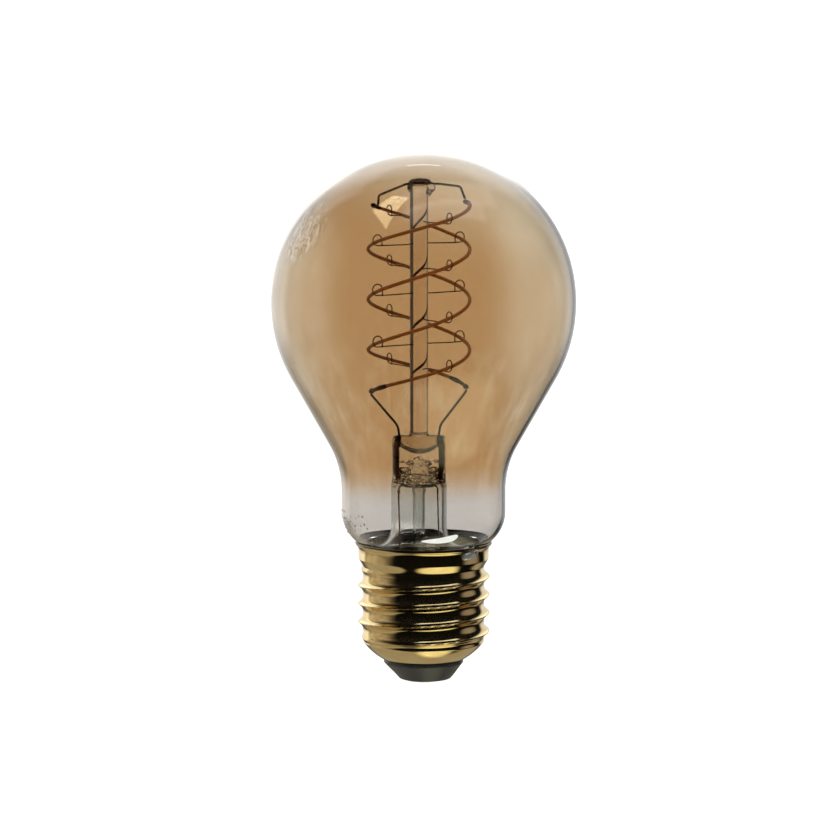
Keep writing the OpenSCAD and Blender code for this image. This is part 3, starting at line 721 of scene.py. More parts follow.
def build_stem():
    """The trumpet foot, tube and pressed block are one glass body, hollow up to a ragged point in the block."""
    bore = STEM_TUBE_R - STEM_WALL
    bend_r = FLARE_R - STEM_TUBE_R
    bend_z = FLARE_Z + STEM_WALL + bend_r
    edge_z = PRESS_TOP_Z - PRESS_EDGE_R
    low, high = PRESS_BLEND_Z
    rings = [stem_section(r, r, z) for r, z in arc((FLARE_R, bend_z), bend_r, 268, 180, 22)]
    rings += [stem_section(STEM_TUBE_R, STEM_TUBE_R, z) for z in np.linspace(bend_z + 0.8, low, 14)]
    for z in np.linspace(low, edge_z, 52)[1:]:
        t = ease((z - low) / (high - low))
        width, depth = mix(STEM_TUBE_R, PRESS_HALF_WIDTH, t), mix(STEM_TUBE_R, PRESS_HALF_DEPTH, t)
        rings.append(stem_section(width, depth, z, swell=pinch if t > 0.3 else None))
    for turn in (20, 40, 60, 80):
        inset = PRESS_EDGE_R * (1 - math.cos(math.radians(turn)))
        z = edge_z + PRESS_EDGE_R * math.sin(math.radians(turn))
        rings.append(stem_section(PRESS_HALF_WIDTH - inset, PRESS_HALF_DEPTH - inset, z, swell=pinch))
    for share in (0.6, 0.25):
        width, depth = (PRESS_HALF_WIDTH - PRESS_EDGE_R) * share, (PRESS_HALF_DEPTH - PRESS_EDGE_R) * share
        rings.append(stem_section(width, depth, PRESS_TOP_Z))
    rings.append([(STEM_X, 0.0, PRESS_TOP_Z)])

    def rag(x, y, z):
        ragged = ease((z - HOLLOW_ROOF_Z - 0.2) / 0.9)
        bulge = 1 + ragged * (0.34 * wobble((x, y, z), 0.9, 2) + 0.30 * wobble((x, y, z), 1.9, 4))
        return x * bulge, y * min(bulge, 1.2)

    hollow = [[(STEM_X, 0.0, HOLLOW_PEAK_Z)]]
    for z in np.linspace(HOLLOW_PEAK_Z - 0.05, HOLLOW_ROOF_Z, 56):
        t = (z - HOLLOW_ROOF_Z) / (HOLLOW_PEAK_Z - HOLLOW_ROOF_Z)
        width = bore * (1 - t) ** 0.5 * (1 - 0.36 * ease(t * 1.5)) + 0.05
        depth = bore * (1 - ease((z - HOLLOW_ROOF_Z) / 1.7)) + 1.05 * math.sqrt(max(1 - t, 0.0))
        depth = min(depth, bore)
        hollow.append(stem_section(max(width, depth), depth, z, swell=rag))
    hollow += [stem_section(bore, bore, z) for z in np.linspace(HOLLOW_ROOF_Z - 0.4, bend_z + 0.8, 14)]
    hollow += [stem_section(r, r, z) for r, z in arc((FLARE_R, bend_z), bend_r + STEM_WALL, 180, 268, 22)]
    made = finish_mesh("stem_body", *skin(hollow + rings), STEM_GLASS)
    add_piece(made, "stem_glass", "stem_flare", "stem_press")


POCKETS = (  # x from the stem's axis, height, radius
    (-2.7, 42.0, 0.85), (-1.7, 43.5, 0.6), (1.75, 43.4, 0.65), (2.75, 42.1, 0.9), (-3.3, 43.7, 0.4),
    (3.3, 43.9, 0.42), (0.95, 45.5, 0.3), (-0.7, 45.7, 0.26), (-2.1, 41.2, 0.45), (2.0, 41.1, 0.5),
    (0.1, 45.9, 0.34))


def build_press_bubbles():
    """Air trapped in the pressed glass: small closed voids, drawn out along the block."""
    chance = random.Random(21)
    pockets = list(POCKETS)
    for _ in range(14):
        pockets.append((chance.uniform(-3.0, 3.0), chance.uniform(44.0, 47.6), chance.uniform(0.08, 0.2)))

    def void(x, z, reach):
        centre = Vector((STEM_X + x, chance.uniform(-0.35, 0.35), z))
        size = Vector([reach * chance.uniform(0.85, 1.15) * k for k in (1.25, 0.85, 0.8)])

        def place(direction):
            bulge = 1 + 0.4 * wobble(direction, 1.3, centre.z)
            return centre + Vector([c * s * bulge for c, s in zip(direction, size)])

        return ball(3, place)

    made = finish_mesh("press_bubbles", *gather([void(*pocket) for pocket in pockets]), STEM_GLASS)
    made.data.flip_normals()
    add_piece(made, "stem_glass")


def build_exhaust():
    low = box_mm("exhaust_tube")[0].z
    bore = EXHAUST_R - EXHAUST_WALL
    top = SEAL_LOW_Z - 1.2
    outline = [(0.0, low)] + arc((0, low + EXHAUST_R), EXHAUST_R, -75, 0, 8)
    outline += straight(outline[-1], (EXHAUST_R, top - 1), 12)
    outline += [(EXHAUST_R, top - 1), (EXHAUST_R + 0.15, top - 0.4), (EXHAUST_R + 0.5, top)]
    outline += [(bore + 0.4, top + 0.05), (bore, top - 0.5)]
    outline += straight((bore, top - 0.5), (bore, low + 2.4), 12)
    outline += arc((0, low + 2.4), bore, 0, -75, 6) + [(0.0, low + 2.4 - bore)]

    def drawn(radius, height, angle):
        return radius * (1 + 0.03 * wobble((0, 0, height), 0.35, 6)), height

    made = lathe("exhaust_pipe", outline, 48, STEM_GLASS, STEM_X, closed=False, change=drawn)
    add_piece(made, "stem_glass", "exhaust_tube")


def far_sides(spheres, centre, direction):
    """Where a line from the centre leaves each sphere that it meets."""
    for place, radius in spheres:
        offset = [p - c for p, c in zip(place, centre)]
        along = sum(o * d for o, d in zip(offset, direction))
        inside = radius ** 2 - sum(o * o for o in offset) + along ** 2
        if inside > 0:
            yield along + math.sqrt(inside)


BUTTON_LUMPS = (  # centre from the end of the rod's axis, radius
    ((0.0, 0.0, 0.0), 1.85), ((-1.0, 0.1, 0.35), 1.15), ((1.3, 0.0, 0.35), 1.25),
    ((2.2, -0.15, -0.15), 1.05), ((1.75, -0.35, -1.05), 0.85), ((-1.5, -0.1, -0.35), 0.75))


def rod_reach(angle, z):
    """How far the rod and its melted button reach from the axis at one angle and height."""
    thinnest = 0.02
    reaches = [ROD_R * (1 - 0.004 * wobble((0, 0, z), 0.4, 8))] if z <= ROD_TOP_Z else []
    reaches += far_sides(BUTTON_LUMPS, (0, 0, z - ROD_TOP_Z), (math.cos(angle), math.sin(angle), 0))
    reaches = [reach for reach in reaches if reach > thinnest]
    return smooth_max(reaches, 5.0) if reaches else thinnest


def build_rod():
    """The rod with its melted top, drawn as one radial surface, with a fillet on the press."""
    low = PRESS_TOP_Z - 0.06
    levels = [low + rise for rise in (0.02, 0.1, 0.2, 0.35, 0.55, 0.8)]
    levels += [*np.linspace(low + 1.1, 95.0, 60), *np.linspace(95.15, ROD_END_Z, 44)]
    rings = [[(STEM_X, 0.0, low)]]
    for z in levels:
        fillet = 0.3 * (1 - ease((z - low) / 0.7)) ** 2
        past = max(z - ROD_ROUNDING_Z, 0.0) / (ROD_END_Z + 0.03 - ROD_ROUNDING_Z)
        reaches = [(rod_reach(a, z) + fillet) * math.sqrt(1 - past ** 2) for a in turns(96)]
        rings.append([(STEM_X + r * math.cos(a), r * math.sin(a), z) for r, a in zip(reaches, turns(96))])
    rings.append([(STEM_X, 0.0, ROD_END_Z + 0.04)])
    add_piece(finish_mesh("glass_rod", *skin(rings), ROD_GLASS), "stem_glass", "support_rod")


# ---------------------------------------------------------------- filament
def strand(side, travel):
    """A point on the left (0) or right (1) filament after it has travelled an angle down the helix."""
    if travel < 0:
        z = HELIX_TOP_Z - travel * 0.02
    else:
        u = travel / 720
        z = HELIX_TOP_Z - HELIX_DROP * (u - HELIX_EASE * math.sin(2 * math.pi * u))
    lift = STRAND_LIFT[side] * (1 - ease((travel - 60) / 70))
    return polar(HELIX_R, 180 * (1 - side) - travel, z + lift) + Vector((STEM_X, 0, 0))


def strand_path(side, start, end, steps):
    return [strand(side, mix(start, end, i / steps)) for i in range(steps + 1)]


def build_filament(side):
    name = SIDES[side]
    path = strand_path(side, STRAND_START[side] + UPPER_CLIP_TURN - 2, HELIX_END - LOWER_CLIP_TURN + 2, 620)

    def radius(share, length):
        chips = 0.012 * math.cos(2 * math.pi * length / CHIP_PITCH)
        return FILAMENT_R * (1 + 0.03 * wobble((length, 0, 0), 0.6, side + 1)) + chips

    made = sweep(f"filament_strand_{name}", path, radius, 14, PHOSPHOR, 0.94)
    add_piece(made, "phosphor", f"filament_{name}")


def build_clip(side, level):
    """A crimped strip round the filament's end, pinched in the middle, with a bead at the weld."""
    name = f"{level}_{SIDES[side]}"
    if level == "upper":
        start = STRAND_START[side]
        path = strand_path(side, start, start + UPPER_CLIP_TURN, 30)
        steps = ((0.0, 0.75), (0.16, 1.0), (0.34, 0.88), (0.5, 0.78), (0.66, 0.9), (0.85, 0.82), (1.0, 0.7))
    else:
        path = strand_path(side, HELIX_END - LOWER_CLIP_TURN, HELIX_END, 44)
        steps = ((0.0, 0.72), (0.12, 0.92), (0.3, 0.98), (0.45, 0.82), (0.6, 0.72), (0.8, 0.74), (0.92, 1.05),
                 (1.0, 0.95))

    def radius(share, length):
        for (s0, r0), (s1, r1) in zip(steps, steps[1:]):
            if s0 <= share <= s1:
                size = mix(r0, r1, ease((share - s0) / (s1 - s0)))
                return CLIP_R * size * (1 + 0.05 * wobble((length, side, 0), 2.2, 3))
        return CLIP_R * steps[-1][1]

    add_piece(sweep(f"crimp_{name}", path, radius, 16, CLIP, 0.86), "clip_metal", f"clip_{name}")


def build_support(index):
    """A fine wire: out of the rod, round the filament and down beside itself, never quite straight."""
    name = f"{index + 1:02d}"
    chance = random.Random(100 + index)
    place = strand(index // SUPPORTS_EACH, SUPPORT_FIRST + SUPPORT_STEP * (index % SUPPORTS_EACH))
    outward = Vector((place.x - STEM_X, place.y, 0)).normalized()
    along = Vector((-outward.y, outward.x, 0))
    size = LOOP_R * chance.uniform(0.93, 1.04)
    tall = chance.uniform(0.95, 1.08)
    foot = place.z + 0.3 - LOOP_R
    profile = [(ROD_R - 0.55, 0, foot + chance.uniform(-0.25, 0.2)),
               (ROD_R + 1.0, 0, foot + chance.uniform(-0.12, 0.1)),
               (HELIX_R - 2.2, 0, foot + chance.uniform(-0.08, 0.05)), (HELIX_R - 0.6, 0, foot)]
    profile += [(HELIX_R + size * math.cos(math.radians(a)), TAIL_OFFSET * (a + 90) / 270,
                 foot + size * tall * (1 + math.sin(math.radians(a)))) for a in range(-90, 181, 15)]
    profile.append((HELIX_R - size * 0.97, TAIL_OFFSET, foot - 0.12))
    path = [Vector((STEM_X, 0, up)) + out * outward + aside * along for out, aside, up in profile]
    made = sweep(f"support_loop_{name}", route(path, 0, 0.5), SUPPORT_R, 10, WIRE)
    add_piece(made, "support_metal", f"support_wire_{name}")


def build_bridge():
    on_clip = Vector((0, 0, CLIP_R + LEAD_R - 0.15))
    left = strand(0, STRAND_START[0] + UPPER_CLIP_TURN * 0.8) + on_clip
    right = strand(1, STRAND_START[1]) + on_clip
    z = ROD_TOP_Z + 0.5
    path = [left, left + Vector((0.1, -0.8, 1.8)), (STEM_X - 2.4, 0, z), (STEM_X + 3.9, 0, z),
            (right.x - 0.9, right.y - 1.6, z - 0.6), right]
    add_piece(sweep("bridge", route(path, 0.6, 0.4), LEAD_R, 14, WIRE), "support_metal", "bridge_wire")


def build_leads(side):
    """The three stretches of a lead wire: to the filament, sealed in the press, and down to the driver."""
    sign = (-1, 1)[side]
    name = SIDES[side]
    x = STEM_X + sign * LEAD_SPREAD
    end = strand(side, HELIX_END) + Vector((0, 0, -CLIP_R * 1.1))
    inner = [end, (x + sign * 0.3, 0.16 * end.y, PRESS_TOP_Z + 1.9), (x, 0, PRESS_TOP_Z - 0.3)]
    made = sweep(f"lead_inner_{name}", route(inner, 0.9, 0.4), LEAD_R, 14, WIRE)
    add_piece(made, "support_metal", f"inner_lead_{name}")

    def sealed(share, length):
        return SEAL_R * (1.25 + 0.15 * wobble((length, side, 0), 0.9, 6)) * (0.75 + 0.25 * ease(length / 1.5))

    out = x + sign * 0.3
    seal = [(x, 0, SEAL_LOW_Z + 0.2), (x, 0, SEAL_LOW_Z + 1.4), (out, 0, 42.4), (out, 0, 47.0),
            (x, 0, PRESS_TOP_Z - 0.1)]
    made = sweep(f"lead_sealed_{name}", route(seal, 0.8, 0.3), sealed, 14, DUMET)
    add_piece(made, "copper_wire", f"seal_wire_{name}")

    low_x = x + 0.05
    pad_y = box_mm("driver_board")[0].y - LEAD_R
    outer = [(x, 0, SEAL_LOW_Z + 0.3), (x - 0.2, 0, 37.4), (low_x, 0, 29), (low_x, 0, 24.6),
             (low_x, pad_y, 22.4), (low_x, pad_y, 20.2)]
    knot = (0.75, 0.4)[side]

    def knotted(share, length):
        weld = math.exp(-((length - 2.0) / 0.28) ** 2) + 0.5 * math.exp(-((length - 3.4) / 0.3) ** 2)
        fine = mix(1.0, 0.62, ease((length - 0.6) / 1.0) * ease((12.5 - length) / 1.0))
        return LEAD_R * (fine + knot * weld + 0.08 * wobble((length, side, 3), 0.8, 2))

    made = sweep(f"lead_outer_{name}", route(outer, 0.7, 0.25), knotted, 14, COPPER)
    add_piece(made, "copper_wire", f"outer_lead_{name}")


# ---------------------------------------------------------------- screw cap
def thread_radius(z, angle):
    """Radius of the thread's outer face: hollow grooves between narrow crests, fading out at both ends."""
    phase = 2 * math.pi * (z - CREST_Z) / THREAD_PITCH - (angle - math.pi)
    off_crest = abs((phase + math.pi) % (2 * math.pi) - math.pi) / math.pi
    crest = max(1 + CREST_ROUNDING - math.hypot(off_crest, CREST_ROUNDING), 0.0) ** 3.1
    fade_in = ease((z - THREAD_BOTTOM_Z - 0.3) / THREAD_FADE)
    fade = fade_in * ease((SKIRT_Z - z) / THREAD_FADE)
    low = mix(DOME_RIM[0], GROOVE_R, fade_in)
    rise = min(max((z - SKIRT_Z + 0.15) / 1.6, 0.0), 1.0)
    core = mix(low, SKIRT_R, 0.75 * rise + 0.25 * ease(rise))
    return core + max(CREST_R - core, 0) * crest * fade


def dome_arc(radius):
    """The closed lower end: an arc through its rim and the hole's edge."""
    rim, hole = Vector(DOME_RIM), Vector(DOME_HOLE)
    half = (rim - hole).length / 2
    along = (rim - hole).normalized()
    centre = (rim + hole) / 2 + math.sqrt(DOME_R ** 2 - half ** 2) * Vector((-along.y, along.x))
    start, end = (math.degrees(math.atan2(p.y - centre.y, p.x - centre.x)) for p in (rim, hole))
    return arc(centre, radius, start, end, 22)


def build_shell():
    """Formed brass: rolled lip, skirt, thread and closed lower end, each with its inner face. A notch in the lip
    lets the neutral wire out."""
    lip = [(LIP_R - SHEET, LIP_Z - 0.1)] + arc((LIP_R - SHEET / 2, LIP_Z), SHEET / 2, 180, 0, 6)
    skirt = [(LIP_R, LIP_Z - 0.15), (LIP_R, LIP_Z - 0.32), (LIP_R - 0.06, LIP_Z - 0.46),
             (SKIRT_R + 0.34, LIP_Z - 0.62), (SKIRT_R + 0.15, LIP_Z - 0.86), (SKIRT_R + 0.06, LIP_Z - 1.15),
             (SKIRT_R + 0.02, FLARE_START_Z + 0.6), (SKIRT_R, FLARE_START_Z)]
    inner_skirt = [(SKIRT_R - SHEET, FLARE_START_Z), (SKIRT_R + 0.08 - SHEET, LIP_Z - 1.0)]
    rings = []

    def add(point=None, height=0.0, inset=0.0):
        """A ring through a point of the half section, or on the thread at a height."""
        ring = []
        for angle in turns(256):
            r, z = point or (thread_radius(height, angle) - inset, height)
            degrees = (math.degrees(angle) + 180) % 360 - 180
            if z > LIP_Z - 0.6:
                z -= 0.9 * ease((2.4 - abs(degrees - NOTCH_ANGLE)) / 0.8) * ease((z - LIP_Z + 0.6) / 0.6)
            r += 0.012 * wobble((r * math.cos(angle), r * math.sin(angle), z), 0.35, 4)
            ring.append((r * math.cos(angle), r * math.sin(angle), z))
        rings.append(ring)

    for point in lip + skirt:
        add(point)
    for z in np.linspace(FLARE_START_Z, THREAD_BOTTOM_Z, 190)[1:]:
        add(height=z)
    for point in dome_arc(DOME_R)[1:] + dome_arc(DOME_R - SHEET)[::-1]:
        add(point)
    for z in np.linspace(THREAD_BOTTOM_Z + 0.3, SKIRT_Z, 40):
        add(height=z, inset=SHEET)
    for point in inner_skirt:
        add(point)
    add_piece(finish_mesh("cap_shell", *skin(rings, closed=True), BRASS, 60), "cap_brass", "screw_shell")


def build_insulator():
    low, high = box_mm("cap_insulator")
    contact_gap_r, rivet_gap_r = CONTACT_EDGE_R + 0.08, RIVET_R + 0.05
    floor_z, edge_r, top_r = CONTACT_TOP_Z + 0.02, 0.45, INSULATOR_TOP_R
    foot = (INSULATOR_FOOT_R - edge_r, low.z)
    outline = [(contact_gap_r, floor_z), (contact_gap_r, low.z + 0.1), (contact_gap_r + 0.1, low.z)]
    outline += straight(outline[-1], foot, 3) + arc((foot[0], low.z + edge_r), edge_r, -90, -38, 7)
    outline += straight(outline[-1], (top_r, 3.6), 18)
    outline += [(top_r, 3.6), (top_r, 4.1), (top_r - 0.25, 4.35), (top_r - 0.2, 4.6), (8.5, 5.2)]
    outline += [(9.0, high.z - 0.08), (8.9, high.z), (rivet_gap_r + 0.1, high.z), (rivet_gap_r, high.z - 0.1)]
    outline += [(rivet_gap_r, floor_z)]

    def moulded(radius, height, angle):
        lean = 0.3 * ease((4.0 - height) / 3.5) * math.cos(angle) if radius > contact_gap_r + 0.05 else 0.0
        uneven = 0.02 * wobble((radius * math.cos(angle), radius * math.sin(angle), height), 0.5, 7)
        return radius + lean + uneven, height

    made = lathe("insulator_ring", outline, 160, INSULATOR, change=moulded, sharp=70)
    add_piece(made, "insulator", "cap_insulator")


def build_contact():
    """A stamped disc with a hollow rivet that holds it to the insulator."""
    high = box_mm("centre_contact")[1].z
    edge, top, head = CONTACT_EDGE_R, CONTACT_TOP_Z, RIVET_HEAD_R
    outline = [(0.95, 0.25), (1.0, 0.06), (1.12, 0.0)] + straight((1.12, 0.0), (edge - 0.55, 0.0), 8)
    outline += arc((edge - 0.55, 0.35), 0.35, -90, -25, 6)
    outline += [(edge - 0.05, 0.5), (edge, 0.62), (edge, top - 0.05), (edge - 0.05, top)]
    outline += [(RIVET_R + 0.1, top), (RIVET_R, top + 0.07), (RIVET_R, 5.7)]
    outline += [(head - 0.1, 5.73), (head, 5.83), (head, 5.98), (head - 0.1, high)]
    outline += [(RIVET_BORE_R + 0.08, high), (RIVET_BORE_R, high - 0.1)]

    def stamped(radius, height, angle):
        ring = 0.03 * math.exp(-((radius - 2.6) / 0.25) ** 2) if height < 0.4 else 0.0
        return radius, height + ring

    made = lathe("contact_disc", outline, 128, CONTACT, change=stamped, sharp=60)
    add_piece(made, "contact_brass", "centre_contact")


def build_side_solder():
    """A blob of solder on the skirt: a star shaped skin round three spheres."""
    spheres = [(polar(SKIRT_R + 0.08, SOLDER_ANGLE, 26.15), 0.92),
               (polar(SKIRT_R + 0.22, SOLDER_ANGLE - 3.5, 26.0), 0.7),
               (polar(SKIRT_R + 0.2, SOLDER_ANGLE + 3, 26.3), 0.6)]
    centre = spheres[0][0]

    def place(corner):
        direction = corner.normalized()
        reach = smooth_max(far_sides(spheres, centre, direction), 6)
        return centre + direction * reach * (1 + 0.07 * wobble(direction, 1.7, 2))

    add_piece(finish_mesh("skirt_solder", *ball(4, place), SOLDER), "solder", "side_solder")


def build_contact_solder():
    high = box_mm("contact_solder")[1].z
    outline = [(0.0, 0.16)] + arc((0, 0.98), 0.82, -80, -20, 6)
    outline += [(0.88, 0.9), (0.88, high - 0.2), (0.7, high), (0.0, high)]

    def uneven(radius, height, angle):
        return radius, height + 0.05 * wobble((radius * math.cos(angle), radius * math.sin(angle), 0), 1.5, 3)

    made = lathe("contact_solder_bead", outline, 48, SOLDER, closed=False, change=uneven)
    add_piece(made, "solder", "contact_solder")


def build_neutral_wire():
    """The tinned wire: up from the driver board, between glass and brass, out of the notch and folded down."""
    gap_r = (ROOT_R + SKIRT_R - SHEET) / 2
    pad_y = box_mm("driver_board")[0].y - 0.22
    path = [(8.2, pad_y, 20.4), (8.2, pad_y, 21.7), polar(11, NOTCH_ANGLE, 22.3),
            polar(gap_r, NOTCH_ANGLE, 23.4), polar(gap_r, NOTCH_ANGLE, 26.75),
            polar(SKIRT_R + 0.72, NOTCH_ANGLE, 26.95),
            polar(SKIRT_R + 0.7, NOTCH_ANGLE - 2.6, 25.55), polar(SKIRT_R + 0.72, NOTCH_ANGLE - 5.0, 26.9)]
    add_piece(sweep("neutral_strand", route(path, 0.22, 0.2), 0.19, 14, SOLDER), "solder", "neutral_wire")


def build_cement():
    low, high = box_mm("basing_cement")
    inner, outer = ROOT_R + 0.05, SKIRT_R - SHEET - 0.05
    edge_z = high.z - 0.1
    outline = [(inner, low.z)] + straight((inner, low.z), (inner, edge_z), 8) + [(inner, edge_z)]
    outline += [(mix(inner, outer, t), high.z - 0.05) for t in (0.2, 0.4, 0.6, 0.8)]
    outline += [(outer, edge_z)] + straight((outer, edge_z), (outer, low.z), 8) + [(outer, low.z)]

    def rough(radius, height, angle):
        lift = 0.22 * wobble((radius * math.cos(angle), radius * math.sin(angle), 0), 0.7, 5)
        return radius, height + (lift if height > high.z - 0.3 else 0.0)

    add_piece(lathe("cement_bed", outline, 192, CEMENT, change=rough, sharp=80), "cement", "basing_cement")


def build_painted_highlight():
    """A painted highlight: a white leaf shape laid on the glass just above the lip at the front, for a crescent
    of reflected light, with a long thin end, which climbs towards its blunt end."""
    rings = [[tuple(polar(outer_radius_at(PAINTED_HIGHLIGHT_Z) + 0.03, PAINTED_HIGHLIGHT_START - 0.4, PAINTED_HIGHLIGHT_Z))]]
    for share in np.linspace(0.01, 0.985, 30):
        middle = PAINTED_HIGHLIGHT_Z + PAINTED_HIGHLIGHT_RISE * share ** 3
        half = PAINTED_HIGHLIGHT_HALF * share ** 0.45 * math.sqrt(1 - share ** 10)
        ring = []
        for turn in turns(16):
            z = middle + half * math.cos(turn)
            lift = 0.02 + 0.05 * (1 + math.sin(turn)) * half
            angle = mix(PAINTED_HIGHLIGHT_START, PAINTED_HIGHLIGHT_END, share)
            ring.append(tuple(polar(outer_radius_at(z) + 0.9 * lift, angle, z - 0.4 * lift)))
        rings.append(ring)
    end_z = PAINTED_HIGHLIGHT_Z + PAINTED_HIGHLIGHT_RISE
    rings.append([tuple(polar(outer_radius_at(end_z) + 0.04, PAINTED_HIGHLIGHT_END, end_z))])
    add_piece(finish_mesh("painted_highlight_patch", *skin(rings), PAINTED_HIGHLIGHT), "cement")


def paint_hidden_parts():
    """The driver and radio in the cap keep their CAD shapes, with their own materials."""
    looks = {"driver_board": BOARD, "radio_module": RADIO_BOARD, "radio_shield": SHIELD,
             "radio_antenna": COPPER, "smoothing_capacitor": SLEEVE, "choke_core": FERRITE,
             "choke_winding": COPPER, "bridge_rectifier": CHIP, "driver_chip": CHIP, "fuse_resistor": RESISTOR,
             "live_wire": INSULATION}
    for node, look in looks.items():
        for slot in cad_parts[node].material_slots:
            slot.link = "OBJECT"
            slot.material = look


# ---------------------------------------------------------------- studio
class Sky(Nodes):
    """The studio round the bulb, as a world shader with soft windows of light at given directions."""

    def __init__(self):
        world = bpy.data.worlds.new("studio")
        bpy.context.scene.world = world
        super().__init__(world)
        self.direction = self.node("ShaderNodeTexCoord").outputs["Generated"]
        self.x, self.y, self.z = self.split(self.direction)
        self.azimuth = self.times(self.maths("ARCTAN2", self.x, self.times(self.y, -1)), 180 / math.pi)
        self.elevation = self.times(self.maths("ARCSINE", self.z), 180 / math.pi)
        self.path = self.node("ShaderNodeLightPath").outputs

    def over(self, source, edge, soft=0.0):
        """1 where the source is over an edge, which may be soft."""
        return self.rise(source, edge - soft, edge + soft) if soft else self.maths("GREATER_THAN", source, edge)

    def under(self, source, edge, soft=0.0):
        return self.minus(1.0, self.over(source, edge, soft))

    def window(self, azimuths, elevations, soft):
        """1 between two azimuths, counted from the camera's side to the right, and two elevations."""
        share = self.over(self.azimuth, azimuths[0], soft)
        share = self.times(share, self.under(self.azimuth, azimuths[1], soft))
        share = self.times(share, self.under(self.elevation, elevations[1], soft))
        return self.times(share, self.over(self.elevation, elevations[0], soft))

    def along(self, direction):
        """How far the ray's direction goes along another one."""
        return self.vectors("DOT_PRODUCT", self.direction, tuple(direction))["Value"]

    def spot(self, direction, radius, soft):
        """1 within an angle of a direction."""
        near, far = (math.cos(math.radians(radius + s)) for s in (-soft, soft))
        return self.over(self.along(Vector(direction).normalized()), (near + far) / 2, (near - far) / 2)

    def panel(self, *corners, soft=0.012):
        """1 inside a flat panel of light, given the directions to its corners in turn."""
        corners = [Vector(c).normalized() for c in corners]
        middle = sum(corners, Vector())
        share = 1.0
        for a, b in zip(corners, corners[1:] + corners[:1]):
            edge = a.cross(b).normalized()
            inward = edge if edge.dot(middle) > 0 else -edge
            share = self.times(self.over(self.along(inward), soft, soft), share)
        return share

    def layers(self, base, *shares):
        """A colour: the base, with each share times its own colour added."""
        total = (base,) * 3
        for share, strength in shares:
            colour = strength if isinstance(strength, tuple) else (strength,) * 3
            total = self.vectors("MULTIPLY_ADD", share, colour, total)[0]
        return total

    def choose(self, share, first, second):
        made = self.node("ShaderNodeMix", data_type="VECTOR")
        for index, value in ((0, share), (4, first), (5, second)):
            self.give(made.inputs[index], value)
        return made.outputs[1]


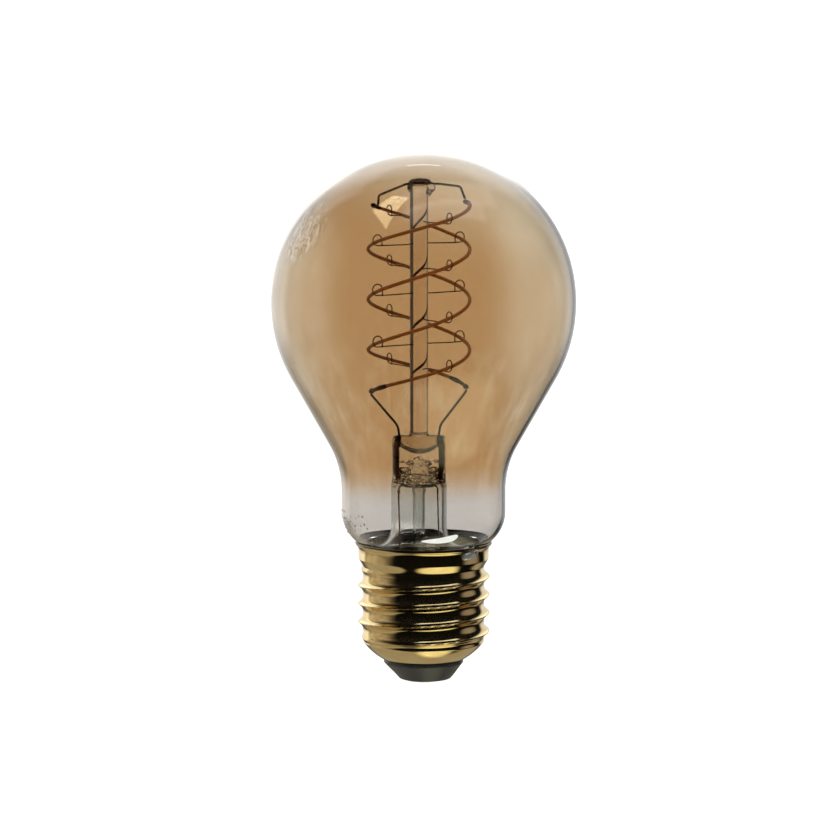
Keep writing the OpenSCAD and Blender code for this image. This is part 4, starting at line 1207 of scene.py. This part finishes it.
def build_studio():
    """White all round for light that comes straight or through glass. Light that the stem's solid glass bends
    down and aside finds that white dimmed, and light that has passed more than four surfaces finds a dark room
    with pale windows behind and at the left. Mirrored light sees a dark room with a warm wall at the left, pale
    walls behind, the floor, and lights above and below. Which lights it sees depends on how many surfaces it
    passed before: up to one is the cap and the globe's front, more is the glass within and the globe's back."""
    sky = Sky()
    depth = sky.path["Transmission Depth"]
    folds = sky.node("ShaderNodeTexNoise")
    folds.inputs["Scale"].default_value = 3.2
    sky.give(folds.inputs["Vector"], sky.direction)
    curtain = sky.times(sky.window((-134, -70), (-24, 34), 19), sky.times(folds.outputs["Fac"], 2.0))
    floor_colour = (0.38, 0.34, 0.26)
    strip = sky.panel((-0.11, 0.665, 0.739), (0.11, 0.665, 0.739), (0.11, 0.627, 0.771), (-0.11, 0.627, 0.771))
    room = [(curtain, (0.50, 0.43, 0.34)),
            (sky.spot((0.995, 0.09, -0.07), 15, 9), (0.30, 0.26, 0.23)),
            (sky.window((-200, -60), (-90, -24), 8), floor_colour),
            (sky.window((128, 200), (-90, -24), 8), floor_colour),
            (strip, 3.5)]
    back_left = sky.window((-200, -128), (-15, 50), 6)
    back_right = sky.window((137, 200), (-15, 50), 7)

    rim_light = sky.spot((0, 0.80, 0.60), 24, 10)
    above = sky.panel((-0.28, -0.19, 0.94), (0.50, 0.22, 0.83), (0.65, -0.09, 0.74), (-0.13, -0.50, 0.86),
                      soft=0.05)
    below = sky.spot((0.28, -0.19, -0.94), 23, 6)
    outer = sky.layers(0.004, *room, (back_left, 1.0), (back_right, 0.85), (rim_light, 1.4), (above, 1.15),
                       (below, (1.1, 1.05, 0.68)))

    box = sky.times(sky.spot((0.30, -0.10, 0.92), 20, 1.5), sky.over(depth, 3.5))
    panel = sky.panel((0.50, -0.02, -0.865), (0.27, 0.09, -0.956), (0.12, -0.035, -0.994),
                      (0.43, -0.455, -0.777))
    inner = sky.layers(0.02, *room, (back_left, 0.62), (back_right, 0.55), (box, 5.0),
                       (sky.times(panel, sky.under(depth, 2.5)), (11.0, 11.0, 9.0)))

    aside = sky.plus(sky.under(sky.x, -0.2, 0.05), sky.over(sky.x, 0.36, 0.05))
    bent = sky.times(sky.times(sky.under(sky.z, -0.17, 0.05), aside), -0.9)
    shallow = sky.layers(1.06, (sky.times(bent, sky.over(depth, 0.5)), 1.0))
    deep = sky.layers(0.08, (sky.window((152, 200), (-21, 19), 5), 0.98),
                      (sky.window((-200, -134), (-21, 19), 5), 0.98),
                      (sky.window((-134, -70), (-20, 20), 5), 0.3))
    through = sky.choose(sky.over(depth, 4.5), shallow, deep)
    mirrored = sky.choose(sky.over(depth, 1.5), outer, inner)
    seen = sky.choose(sky.over(sky.path["Glossy Depth"], 0.5), through, mirrored)
    sky.give(sky.tree.nodes["Background"].inputs["Color"], seen)


def build_floor():
    """A pale floor under the contact, seen by the camera and lighting the object. From below it is clear."""
    bpy.ops.mesh.primitive_grid_add(size=FLOOR_SIZE, x_subdivisions=8, y_subdivisions=8,
                                    location=(0, 0, cad_box[0].z))
    floor = bpy.context.object
    floor.name = "studio_floor"
    floor.visible_glossy = False
    floor.visible_transmission = False
    look = Look("pale_floor", Base_Color=(0.3, 0.3, 0.3, 1), Roughness=0.9, Emission_Color=(1, 1, 1, 1),
                Emission_Strength=1.05)
    both = look.node("ShaderNodeMixShader")
    clear = look.node("ShaderNodeBsdfTransparent").outputs[0]
    back = look.node("ShaderNodeNewGeometry").outputs["Backfacing"]
    for target, value in zip(both.inputs, (back, look.shader.outputs[0], clear)):
        look.give(target, value)
    look.give(look.tree.nodes["Material Output"].inputs["Surface"], both.outputs[0])
    floor.data.materials.append(look.material)


def build_camera():
    """The photo's camera, as near as its place and lens could be worked out."""
    data = bpy.data.cameras.new("camera")
    data.lens = CAMERA_LENS
    data.clip_start, data.clip_end = 0.01, 20
    camera = bpy.data.objects.new("camera", data)
    bpy.context.scene.collection.objects.link(camera)
    camera.location = CAMERA_PLACE
    camera.rotation_euler = (math.radians(CAMERA_TILT), 0, 0)
    bpy.context.scene.camera = camera


def set_up_light_paths():
    scene = bpy.context.scene
    scene.view_settings.view_transform = "Standard"
    scene.cycles.max_bounces = 36
    scene.cycles.transmission_bounces = 30
    scene.cycles.glossy_bounces = 16
    scene.cycles.diffuse_bounces = 4


build_envelope()
build_seeds()
build_stem()
build_press_bubbles()
build_exhaust()
build_rod()
for side in (0, 1):
    build_filament(side)
    build_clip(side, "upper")
    build_clip(side, "lower")
    build_leads(side)
build_bridge()
for index in range(2 * SUPPORTS_EACH):
    build_support(index)
build_shell()
build_insulator()
build_contact()
build_side_solder()
build_contact_solder()
build_neutral_wire()
build_cement()
build_painted_highlight()
paint_hidden_parts()
build_studio()
build_floor()
build_camera()
set_up_light_paths()
